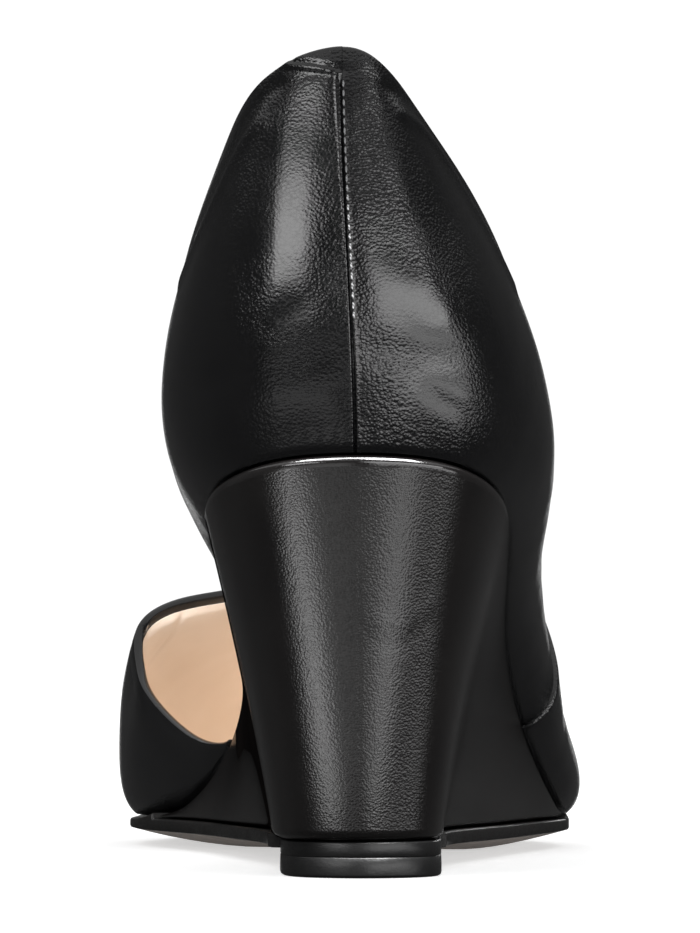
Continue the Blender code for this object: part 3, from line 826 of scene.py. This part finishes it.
def outsole_finish(edge_material, tread_material):
    """The outsole: a black painted edge and a dark tread face, flat in the middle and rising to its edge."""
    step = WEDGE_FRONT + GAP
    waist = np.linspace(LIFT_FRONT + GAP, step - GAP / 2, SOLE_STATIONS // 2)
    share = np.sin(math.pi / 2 * np.linspace(0, 1, SOLE_STATIONS // 2))
    fore = step + GAP / 2 + (GROUND.toe - step - GAP / 2) * share
    y = np.concatenate([waist, fore])
    top = np.where(y > step, feather_height(y)[:, 0] - GAP, tread_heights(y)[:, 0])
    lows = []
    for u in GROUND.edges(y):
        p = GROUND.at(u)
        lows.append(tread_heights(p[:, 1] + BALL_SLANT * p[:, 0])[:, 1])
    insets = [row.inset for row in SOLE_ROWS + SOLE_LOW_ROWS]
    heights = [top - row.depth for row in SOLE_ROWS]
    heights += [tuple(low + row.depth for low in lows) for row in SOLE_LOW_ROWS]

    def lower_face(under, shares):
        slanted = (under[:, :, 1] + BALL_SLANT * under[:, :, 0]).ravel()
        _, edge, middle = (column.reshape(under.shape[:2]) for column in tread_heights(slanted).T)
        rise = np.clip((np.abs(shares) - TREAD_FLAT) / (1 - TREAD_FLAT), 0, 1) ** TREAD_CURVE
        return middle + (edge - middle) * rise[None, :]

    rings = slab_rings(*edge_rows(GROUND, y, insets, heights), SOLE_COLUMNS, lower_face)
    first_under = SOLE_COLUMNS - 2 + len(insets) - 1

    def paint(place):
        return (place >= first_under) & (place < first_under + SOLE_COLUMNS - 1)

    materials = [edge_material, tread_material]
    piece = loft("outsole_finish", rings, materials, caps=(True, False), paint=paint)
    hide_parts("outsole")
    return piece


# Rows down the lift's edge: height as a share of the lift's, and inset, with a scored line
LiftRow = namedtuple("LiftRow", "height inset")
LIFT_ROWS = [
    LiftRow(1.0, 0.3), LiftRow(0.985, 0.1), LiftRow(0.95, 0.0),
    LiftRow(0.6, 0.0), LiftRow(0.565, 0.16), LiftRow(0.53, 0.0),
    LiftRow(0.3, -0.05), LiftRow(0.09, -0.05), LiftRow(0.03, 0.05), LiftRow(0.0, 0.3),
]


def top_lift_finish(material):
    """The top lift with eased edges and the scored line where its wear layer begins."""
    y = eased(SOLE_STATIONS // 2, GROUND.back, LIFT_FRONT, round_end=False)
    insets = [LIFT_INSET + row.inset for row in LIFT_ROWS]
    heights = [LIFT_HEIGHT * row.height for row in LIFT_ROWS]
    rings = slab_rings(*edge_rows(GROUND, y, insets, heights), LIFT_COLUMNS)
    rings[:, :, 0] += LIFT_SIDE
    rings[:, :, 1] = np.minimum(rings[:, :, 1], LIFT_FRONT)
    piece = loft("top_lift_finish", rings, [material], caps=(False, True))
    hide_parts("top_lift")
    return piece


# Stitches

Stitching = namedtuple("Stitching", "name length gap width stand")
BACK_STITCHES = Stitching("back_seam_stitches", 1.15, 0.35, 0.33, 0.3)
TAIL_STITCHES = Stitching("tail_stitches", 0.95, 0.65, 0.34, 0.26)
STITCH_SIDES, STITCH_RINGS, STITCH_BLUNT, STITCH_SUNK = 8, 7, 0.02, 0.15
# Ends of the two rows: shares of the wall's height, and distances from the seam and from the tail's end
BACK_ROW_TOP, BACK_ROW_FOOT, BACK_ROW_STEPS = 0.91, 0.31, 140
TAIL_ROW_START, TAIL_ROW_SHORT, TAIL_ROW_STEPS = 0.6, 3.0, 60


def stitch_row(row, points, normals, material):
    """A row of thread stitches along points on the upper, as one mesh."""
    run = np.concatenate([[0], np.cumsum(np.linalg.norm(np.diff(points, axis=0), axis=1))])
    vertices, faces = [], []
    angles = 2 * math.pi * np.arange(STITCH_SIDES) / STITCH_SIDES
    shares = np.linspace(0, 1, STITCH_RINGS)
    index = np.arange(STITCH_RINGS * STITCH_SIDES).reshape(STITCH_RINGS, STITCH_SIDES)
    for start in np.arange(0, run[-1] - row.length, row.length + row.gap):
        at = start + row.length * shares
        middle = np.column_stack([np.interp(at, run, points[:, k]) for k in range(3)])
        normal = unit(np.column_stack([np.interp(at, run, normals[:, k]) for k in range(3)]))
        across = unit(np.cross(np.gradient(middle, axis=0), normal))
        swell = np.sqrt(np.maximum(1 - (2 * shares - 1) ** 2, STITCH_BLUNT))[:, None]
        ring = [
            middle
            + (row.stand * swell * (1 + math.sin(a)) / 2 - STITCH_SUNK) * normal
            + row.width / 2 * swell * math.cos(a) * across
            for a in angles
        ]
        vertices.append(np.stack(ring, axis=1).reshape(-1, 3))
        faces += tube_faces(index) + [index[0, ::-1].tolist(), index[-1].tolist()]
        index = index + index.size
    mesh = bpy.data.meshes.new(row.name)
    mesh.from_pydata(to_row(np.concatenate(vertices)).tolist(), [], faces)
    finish_piece(row.name, mesh, [material])


def line_on_upper(u, v):
    """Points and normals along a line on the upper."""
    return wall_surface(u, v[:, None])[:, 0], wall_normals(u, v[:, None])[:, 0]


def back_seam_stitches(material):
    """The stitches beside the back seam, on its outer side."""
    v = np.linspace(BACK_ROW_TOP, BACK_ROW_FOOT, BACK_ROW_STEPS)
    u = np.full(len(v), station("heel") - SEAM_RIDGE_SIDE + SEAM_SHIFT)
    points, normals = line_on_upper(u, v)
    stitch_row(BACK_STITCHES, points + SEAM_RIDGE * normals, normals, material)


def tail_stitches(material):
    """The stitches along the turned top of the inner quarter."""
    side = np.linspace(-TAIL_ROW_START, TAIL_ROW_SHORT - TAIL_REACH, TAIL_ROW_STEPS)
    u = station("heel") - side
    v = 1 - (tail_line(side) - TAIL_GROOVE_RISE) / wall_heights(u)
    stitch_row(TAIL_STITCHES, *line_on_upper(u, v), material)


# Materials


def add(tree, kind, inputs=None, **settings):
    """A node with its inputs set or linked."""
    node = tree.nodes.new("ShaderNode" + kind)
    for key, value in settings.items():
        setattr(node, key, value)
    for key, value in (inputs or {}).items():
        if isinstance(value, bpy.types.NodeSocket):
            tree.links.new(value, node.inputs[key])
        else:
            node.inputs[key].default_value = value
    return node


def math_node(tree, operation, a, b=0.0):
    return add(tree, "Math", {0: a, 1: b}, operation=operation).outputs[0]


def vector_math(tree, operation, a, b, result="Vector"):
    return add(tree, "VectorMath", {0: a, 1: b}, operation=operation).outputs[result]


def remap(tree, value, low, high, to_low, to_high, **settings):
    """A value taken from one range to another."""
    inputs = {"Value": value, "From Min": low, "From Max": high, "To Min": to_low, "To Max": to_high}
    return add(tree, "MapRange", inputs, **settings).outputs["Result"]


def noise(tree, where, size, detail=3.0, rough=0.55):
    """Noise whose features are about size millimetres across."""
    inputs = {"Vector": where, "Scale": 1 / (size * MM), "Detail": detail, "Roughness": rough}
    return add(tree, "TexNoise", inputs).outputs["Fac"]


def cells(tree, where, size):
    """Distance within irregular cells about size millimetres across."""
    inputs = {"Vector": where, "Scale": 1 / (size * MM), "Randomness": 1.0}
    return add(tree, "TexVoronoi", inputs, feature="F1").outputs["Distance"]


def new_material(name):
    material = bpy.data.materials.new(name)
    material.use_nodes = True
    tree = material.node_tree
    return material, tree, tree.nodes["Principled BSDF"]


def where_on(tree):
    return add(tree, "TexCoord").outputs["Object"]


def set_colour(tree, shader, amount, low, high):
    """Base colour between two colours."""
    mixed = add(tree, "Mix", data_type="RGBA")
    sockets = {s.identifier: s for s in (*mixed.inputs, *mixed.outputs)}
    tree.links.new(amount, sockets["Factor_Float"])
    sockets["A_Color"].default_value = (*low, 1)
    sockets["B_Color"].default_value = (*high, 1)
    tree.links.new(sockets["Result_Color"], shader.inputs["Base Color"])


def set_bump(tree, shader, height, depth, strength=1.0):
    """Bump of a depth in millimetres."""
    inputs = {"Height": height, "Distance": depth * MM, "Strength": strength}
    tree.links.new(add(tree, "Bump", inputs).outputs["Normal"], shader.inputs["Normal"])


EDGE_SOFT, EDGE_CHANGE, EDGES = 0.50, 6.0, (1.0, 1.0)


def soften_edges(tree, shader, specular, edges):
    """Gloss that dies away where a surface is seen along itself, at one angle on either side of the foot."""
    facing = add(tree, "LayerWeight", {"Blend": 0.5}).outputs["Facing"]
    x = add(tree, "SeparateXYZ", {0: where_on(tree)}).outputs["X"]
    edge = remap(tree, x, -EDGE_CHANGE * MM, EDGE_CHANGE * MM, *edges)
    level = remap(tree, facing, EDGE_SOFT, edge, specular, 0.0)
    tree.links.new(level, shader.inputs["Specular IOR Level"])


# The leathers. Sizes are in millimetres, and ranges are of the noise they follow. edges: the facing at which
# the gloss dies on the inner and the outer side. smooth: spots where the leather is stretched smooth.
DRAWN, EVEN = (0.95, 0.95, 1.1), (1.0, 1.0, 1.0)
SMOOTH_GRAIN, SPOT_CORE = 0.1, 0.3
GRAIN_WARP, PORES_A_GRAIN, PORE_RISE, FINE_DETAIL = 3, 3, 0.35, 2.0
PATCH_SIZE, GLOSS_RANGE, COLOUR_RANGE = 14.0, (0.3, 0.7), (0.35, 0.75)
DULL_RANGE, DULL = (0.2, 0.8), 0.08
Leather = namedtuple(
    "Leather",
    "name low high roughness spread grain depth specular stretch edges smooth",
    defaults=(EVEN, EDGES, ()),
)
Spot = namedtuple("Spot", "x y z radius share")


def stretched(tree, where, spots):
    """How smooth the leather is stretched."""
    amount = 0.0
    for spot in spots:
        away = vector_math(tree, "DISTANCE", where, to_row((spot.x, spot.y, spot.z)), "Value")
        ends = spot.radius * MM, SPOT_CORE * spot.radius * MM
        smooth = remap(tree, away, *ends, 0.0, spot.share, interpolation_type="SMOOTHSTEP")
        amount = math_node(tree, "MAXIMUM", smooth, amount)
    return amount


def leather(look):
    """Grained leather: pebbles, fine pores, and patches of more and less gloss."""
    material, tree, shader = new_material(look.name)
    plain = where_on(tree)
    where = vector_math(tree, "MULTIPLY", plain, look.stretch)
    inputs = {"Vector": where, "Scale": 1 / (GRAIN_WARP * look.grain * MM)}
    warp = add(tree, "TexNoise", inputs).outputs["Color"]
    shifted = vector_math(tree, "MULTIPLY", warp, (look.grain * MM,) * 3)
    pebbles = cells(tree, vector_math(tree, "ADD", where, shifted), look.grain)
    pores = noise(tree, where, look.grain / PORES_A_GRAIN, FINE_DETAIL)
    patches = noise(tree, plain, PATCH_SIZE, FINE_DETAIL)
    rise = math_node(tree, "SUBTRACT", math_node(tree, "MULTIPLY", pores, PORE_RISE), pebbles)
    strength = 1.0
    if look.smooth:
        strength = remap(tree, stretched(tree, plain, look.smooth), 0.0, 1.0, 1.0, SMOOTH_GRAIN)
    set_bump(tree, shader, rise, look.depth, strength)
    gloss = remap(tree, patches, *GLOSS_RANGE, look.roughness - look.spread, look.roughness + look.spread)
    dull = remap(tree, pebbles, *DULL_RANGE, 0.0, DULL)
    tree.links.new(math_node(tree, "ADD", gloss, dull), shader.inputs["Roughness"])
    set_colour(tree, shader, remap(tree, patches, *COLOUR_RANGE, 0.0, 1.0), look.low, look.high)
    soften_edges(tree, shader, look.specular, look.edges)
    return material


UPPER_SMOOTH = (
    Spot(-7.0, 7.2, 115, 7, 0.8),
    Spot(-7.5, 7.0, 111, 9, 0.9),
    Spot(-8.0, 6.8, 104, 9, 1.0),
    Spot(-8.5, 6.5, 98, 11, 1.0),
    Spot(-9.0, 6.2, 92, 9, 1.0),
    Spot(4.5, 4.3, 93, 7, 1.0),
    Spot(8.0, 4.5, 89, 9, 1.0),
    Spot(11.0, 5.0, 85, 8, 1.0),
    Spot(13.5, 6.0, 74, 8, 0.9),
    Spot(-6.0, 4.5, 70, 10, 0.8),
    Spot(-8.5, 5.2, 86, 9, 1.0),
    Spot(-8.0, 4.5, 79, 15, 0.7),
    Spot(6.0, 6.5, 108, 17, 0.5),
    Spot(-4.0, 6.8, 121, 11, 0.75),
    Spot(-24.0, 125.0, 19, 8, 1.0),
    Spot(-31.0, 137.0, 23, 9, 1.0),
    Spot(-36.5, 147.0, 29, 8, 1.0),
    Spot(-38.3, 154.0, 36, 8, 1.0),
    Spot(-34.0, 157.5, 43, 8, 1.0),
    Spot(-24.0, 158.6, 46, 9, 1.0),
)
UPPER_LEATHER = Leather(
    "upper_leather", (0.0016, 0.0016, 0.0019), (0.0026, 0.0026, 0.0029), 0.13, 0.03, 0.5, 0.08, 0.5,
    stretch=DRAWN,
    smooth=UPPER_SMOOTH,
)
WEDGE_LEATHER = Leather(
    "wedge_leather", (0.0014, 0.0012, 0.0012), (0.0022, 0.0019, 0.0018), 0.15, 0.03, 0.36, 0.034, 0.5,
    edges=(0.92, 1.02),
)
BURNISHED_RIM = Leather(
    "burnished_rim", (0.0025, 0.0022, 0.0022), (0.004, 0.0036, 0.0035), 0.1, 0.02, 0.42, 0.008, 0.6,
    edges=(0.96, 1.02),
)
BOARD_EDGE = Leather(
    "board_edge", (0.004, 0.0036, 0.0035), (0.007, 0.0062, 0.006), 0.6, 0.05, 0.4, 0.02, 0.06,
    edges=(0.9, 0.9),
)
TAN_LEATHER = Leather(
    "tan_leather", (0.86, 0.745, 0.635), (0.90, 0.79, 0.69), 0.55, 0.06, 0.32, 0.02, 0.3,
)

Resin = namedtuple("Resin", "name low high roughness depth specular")
EDGE_PAINT = Resin("edge_paint", (0.002, 0.002, 0.002), (0.0034, 0.0031, 0.003), 0.34, 0.03, 0.24)
TREAD_RESIN = Resin("tread_resin", (0.13, 0.116, 0.106), (0.18, 0.16, 0.146), 0.55, 0.06, 0.4)
LIFT_RUBBER = Resin("top_lift_rubber", (0.0018, 0.0018, 0.0019), (0.003, 0.003, 0.0031), 0.36, 0.04, 0.34)
SCUFF_STRETCH, SCUFF_SIZE, SCUFF_DETAIL, SCUFF_ROUGH = (1.0, 0.12, 1.0), 0.5, 4.0, 0.7
RESIN_PATCH, RESIN_RANGE, RESIN_SPREAD, RESIN_COLOURS = 9.0, (0.6, 1.4), 0.09, (0.3, 0.7)


def sole_resin(look):
    """Moulded or painted sole material with fine scuffs along it."""
    material, tree, shader = new_material(look.name)
    where = where_on(tree)
    along = vector_math(tree, "MULTIPLY", where, SCUFF_STRETCH)
    scuffs = noise(tree, along, SCUFF_SIZE, SCUFF_DETAIL, SCUFF_ROUGH)
    patches = noise(tree, where, RESIN_PATCH)
    set_bump(tree, shader, scuffs, look.depth)
    ends = look.roughness - RESIN_SPREAD, look.roughness + RESIN_SPREAD
    rough = remap(tree, math_node(tree, "ADD", scuffs, patches), *RESIN_RANGE, *ends)
    tree.links.new(rough, shader.inputs["Roughness"])
    set_colour(tree, shader, remap(tree, patches, *RESIN_COLOURS, 0.0, 1.0), look.low, look.high)
    soften_edges(tree, shader, look.specular, EDGES)
    return material


# Threads, whose colour carries a painted highlight: pale below one height and dark above another
Thread = namedtuple("Thread", "name low high")
# painted highlight: this thread's pale colour stands in for the glint on the back seam's black stitches
GLINT_PAINTED_THREAD = Thread("thread_painted_glint", (0.1, 0.1, 0.103), (0.8, 0.8, 0.81))
BLACK_THREAD = Thread("black_thread", (0.006, 0.006, 0.0062), (0.014, 0.014, 0.0144))
GLINT_FULL_BELOW, GLINT_GONE_ABOVE, GLINT_LEAST = 100.0, 107.0, 0.14
TWIST_LENGTH, TWIST_BEND, TWIST_DEPTH, THREAD_ROUGH = 0.9, 1.5, 0.05, (0.45, 0.3)


def thread(look):
    """Thread with the twist of its strands, lightened along the twist's bands and below one height as a
    painted highlight.
    """
    material, tree, shader = new_material(look.name)
    where = where_on(tree)
    inputs = {"Vector": where, "Scale": 1 / (TWIST_LENGTH * MM), "Distortion": TWIST_BEND}
    twist = add(tree, "TexWave", inputs, bands_direction="DIAGONAL").outputs["Fac"]
    set_bump(tree, shader, twist, TWIST_DEPTH)
    height = add(tree, "SeparateXYZ", {0: where}).outputs["Z"]
    # painted highlight: the thread's colour is pale low on the heel and darkens toward its top
    pale = remap(tree, height, GLINT_FULL_BELOW * MM, GLINT_GONE_ABOVE * MM, 1.0, GLINT_LEAST)
    set_colour(tree, shader, math_node(tree, "MULTIPLY", twist, pale), look.low, look.high)
    tree.links.new(remap(tree, twist, 0.0, 1.0, *THREAD_ROUGH), shader.inputs["Roughness"])
    return material


# Stage. Azimuth 0 is behind the heel, where the camera stands; 90 is the outer side of the foot.

FLOOR_SIZE, FLOOR_DROP = 4.0, 0.00002
FLOOR_CLOUDS, FLOOR_LOW, FLOOR_HIGH = 900.0, (0.88, 0.88, 0.88), (0.91, 0.91, 0.91)
FLOOR_LOOK = {
    "Roughness": 0.8,
    "Specular IOR Level": 0.1,
    "Emission Color": (1, 1, 1, 1),
    "Emission Strength": 0.5,
}
ROOM, BACKDROP = 0.08, 1.05
BACKDROP_INSIDE, BACKDROP_OUTSIDE = 0.9905, 0.985
WHOLE_ROUND = 360
# lean shifts a panel's azimuth, and rise its elevation, by a share of the angle from its middle
Panel = namedtuple(
    "Panel",
    "name azimuth elevation width height soft radiance lean rise",
    defaults=(0.0, 0.0),
)
PANELS = [
    Panel("inner", -42, 16.0, 27, 15.0, 1.4, 7.0, lean=-0.65),
    Panel("outer_high", 39, 8.4, 68, 13, 1.5, 5.6, rise=0.11),
    Panel("outer_low", 48, -5.6, 76, 8, 2.2, 3.5, rise=0.03),
    Panel("inner_low", -30, -13, 48, 8, 5, 1.0),
    Panel("inner_far", -92, 6, 50, 30, 12, 0.13),
    Panel("behind_camera", 14, 20, 24, 10, 7, 0.16),
    Panel("table", 0, -24, 150, 22, 6, 0.15),
    Panel("beyond_outer", 152, -4, 36, 24, 12, 0.085),
    Panel("ceiling", 0, 72, WHOLE_ROUND, 78, 5, 1.0),
]
Card = namedtuple("Card", "name azimuth spread radiance")
CARDS = [Card("card_inner", -54, 12, 3.6), Card("card_outer", 36, 8, 2.4), Card("card_middle", -6, 26, 0.35)]
CARD_GAIN = 3.0
CARD_STEPS = (0.02, 0.04, 0.07, 0.11, 0.16, 0.22)
CARD_RISE = 0.0005
# Each lamp lights one group of pieces
Lamp = namedtuple("Lamp", "name azimuth elevation distance size watts lights")
LAMPS = [
    Lamp("fill", -25, 15, 1.3, 0.5, 44.0, "tan_pieces"),
    Lamp("rim_beyond", 162, 13, 1.0, 0.16, 1.0, "near_floor"),
    Lamp("rim_inner", -40, 62, 1.0, 0.5, 26.0, "near_floor"),
    Lamp("rim_outer", 34, 60, 1.0, 0.6, 60.0, "near_floor"),
]
LIGHT_TARGET = Vector((0.0, -0.06, 0.05))


def studio_floor():
    """A plain pale light table, which the leather doesn't reflect."""
    mesh = bpy.data.meshes.new("studio_floor")
    corners = ((-1, -1), (1, -1), (1, 1), (-1, 1))
    mesh.from_pydata([(x * FLOOR_SIZE, y * FLOOR_SIZE, -FLOOR_DROP) for x, y in corners], [], [range(4)])
    material, tree, shader = new_material("floor_paper")
    set_colour(tree, shader, noise(tree, where_on(tree), FLOOR_CLOUDS), FLOOR_LOW, FLOOR_HIGH)
    for key, value in FLOOR_LOOK.items():
        shader.inputs[key].default_value = value
    mesh.materials.append(material)
    floor = put("studio_floor", mesh)
    floor.visible_glossy = False


def within(tree, angle, width, soft):
    """1 for angles within width about 0, fading to 0 over the soft margin outside it."""
    away = math_node(tree, "ABSOLUTE", angle)
    return remap(tree, away, width / 2 + soft, width / 2, 0.0, 1.0, interpolation_type="SMOOTHSTEP")


def studio_world():
    """A dim room with soft panels of light round the shoe and a pale backdrop ahead of the camera."""
    world = bpy.data.worlds.new("studio")
    world.use_nodes = True
    tree = world.node_tree
    direction = add(tree, "TexCoord").outputs["Generated"]
    x, y, z = add(tree, "SeparateXYZ", {0: direction}).outputs
    behind = math_node(tree, "MULTIPLY", y, -1.0)
    azimuth = math_node(tree, "MULTIPLY", math_node(tree, "ARCTAN2", x, behind), math.degrees(1))
    elevation = math_node(tree, "MULTIPLY", math_node(tree, "ARCSINE", z), math.degrees(1))
    light = remap(tree, y, BACKDROP_OUTSIDE, BACKDROP_INSIDE, ROOM, BACKDROP)
    for panel in PANELS:
        side = math_node(tree, "SUBTRACT", azimuth, panel.azimuth)
        height = math_node(tree, "SUBTRACT", elevation, panel.elevation)
        leaning = math_node(tree, "SUBTRACT", side, math_node(tree, "MULTIPLY", height, panel.lean))
        rising = math_node(tree, "SUBTRACT", height, math_node(tree, "MULTIPLY", side, panel.rise))
        lit = within(tree, rising, panel.height, panel.soft)
        if panel.width < WHOLE_ROUND:
            lit = math_node(tree, "MULTIPLY", lit, within(tree, leaning, panel.width, panel.soft))
        light = math_node(tree, "MAXIMUM", light, math_node(tree, "MULTIPLY", lit, panel.radiance))
    tree.links.new(light, tree.nodes["Background"].inputs["Strength"])
    tree.nodes["Background"].inputs["Color"].default_value = (1, 1, 1, 1)
    bpy.context.scene.world = world
    bpy.context.scene.view_settings.view_transform = "Standard"


def toward(azimuth, elevation):
    """The direction from the shoe at an azimuth and elevation in degrees."""
    a, e = math.radians(azimuth), math.radians(elevation)
    return Vector((math.sin(a) * math.cos(e), -math.cos(a) * math.cos(e), math.sin(e)))


def area_light(name, size, watts, place):
    """A rectangle of light that the camera doesn't see."""
    data = bpy.data.lights.new(name, "AREA")
    data.shape = "RECTANGLE"
    data.size, data.size_y = size
    data.energy = watts
    light = put(name, data)
    light.location = place
    light.visible_camera = False
    return light


def studio_lights(groups):
    """White cards on the floor round the heel, for the pieces near it to mirror, and the lamps."""
    heel = Vector(to_row((0, 0, CARD_RISE / MM)))
    for card in CARDS:
        for near, far in zip(CARD_STEPS, CARD_STEPS[1:]):
            middle = (near + far) / 2
            size = (2 * middle * math.tan(math.radians(card.spread)), far - near)
            watts = card.radiance * (1 + CARD_GAIN * middle) * math.pi * size[0] * size[1]
            light = area_light(card.name, size, watts, heel + toward(card.azimuth, 0) * middle)
            light.rotation_euler = (math.pi, 0, math.radians(card.azimuth))
            light.light_linking.receiver_collection = groups["near_floor"]
    for lamp in LAMPS:
        away = toward(lamp.azimuth, lamp.elevation)
        light = area_light(lamp.name, (lamp.size,) * 2, lamp.watts, LIGHT_TARGET + away * lamp.distance)
        light.rotation_euler = (-away).to_track_quat("-Z", "Y").to_euler()
        light.light_linking.receiver_collection = groups[lamp.lights]


# Camera, in the tables' millimetres and the picture's pixels
CAMERA_PLACE = (0.0, -850.0, 34.4)
CAMERA_FOCUS = 5616.0
CAMERA_RISE = 187.5
PICTURE_HEIGHT = 933
SENSOR = 36.0
CAMERA_CLIP = (0.05, 20.0)


def studio_camera():
    """The camera behind the heel, a little above the floor, looking slightly up."""
    data = bpy.data.cameras.new("camera")
    data.sensor_width = SENSOR
    data.lens = CAMERA_FOCUS / PICTURE_HEIGHT * SENSOR
    data.clip_start, data.clip_end = CAMERA_CLIP
    camera = put("camera", data)
    camera.location = to_row(CAMERA_PLACE)
    camera.rotation_euler = (math.pi / 2 + math.atan(CAMERA_RISE / CAMERA_FOCUS), 0, 0)
    bpy.context.scene.camera = camera


def group_of(name, pieces):
    """A group of pieces that a light can be kept to."""
    group = bpy.data.collections.new(name)
    for piece in pieces:
        group.objects.link(piece)
    return group


def build_shoe():
    """All the pieces, returned as the groups that the lights are kept to."""
    tan = leather(TAN_LEATHER)
    upper_leather(leather(UPPER_LEATHER))
    back_seam_stitches(thread(GLINT_PAINTED_THREAD))
    tail_stitches(thread(BLACK_THREAD))
    groups = {
        "tan_pieces": [upper_lining(tan), insole(leather(BOARD_EDGE), tan)],
        "near_floor": [
            wedge_cover(leather(WEDGE_LEATHER), leather(BURNISHED_RIM)),
            outsole_finish(sole_resin(EDGE_PAINT), sole_resin(TREAD_RESIN)),
            top_lift_finish(sole_resin(LIFT_RUBBER)),
        ],
    }
    return {name: group_of(name, pieces) for name, pieces in groups.items()}


studio_camera()
studio_world()
studio_floor()
studio_lights(build_shoe())
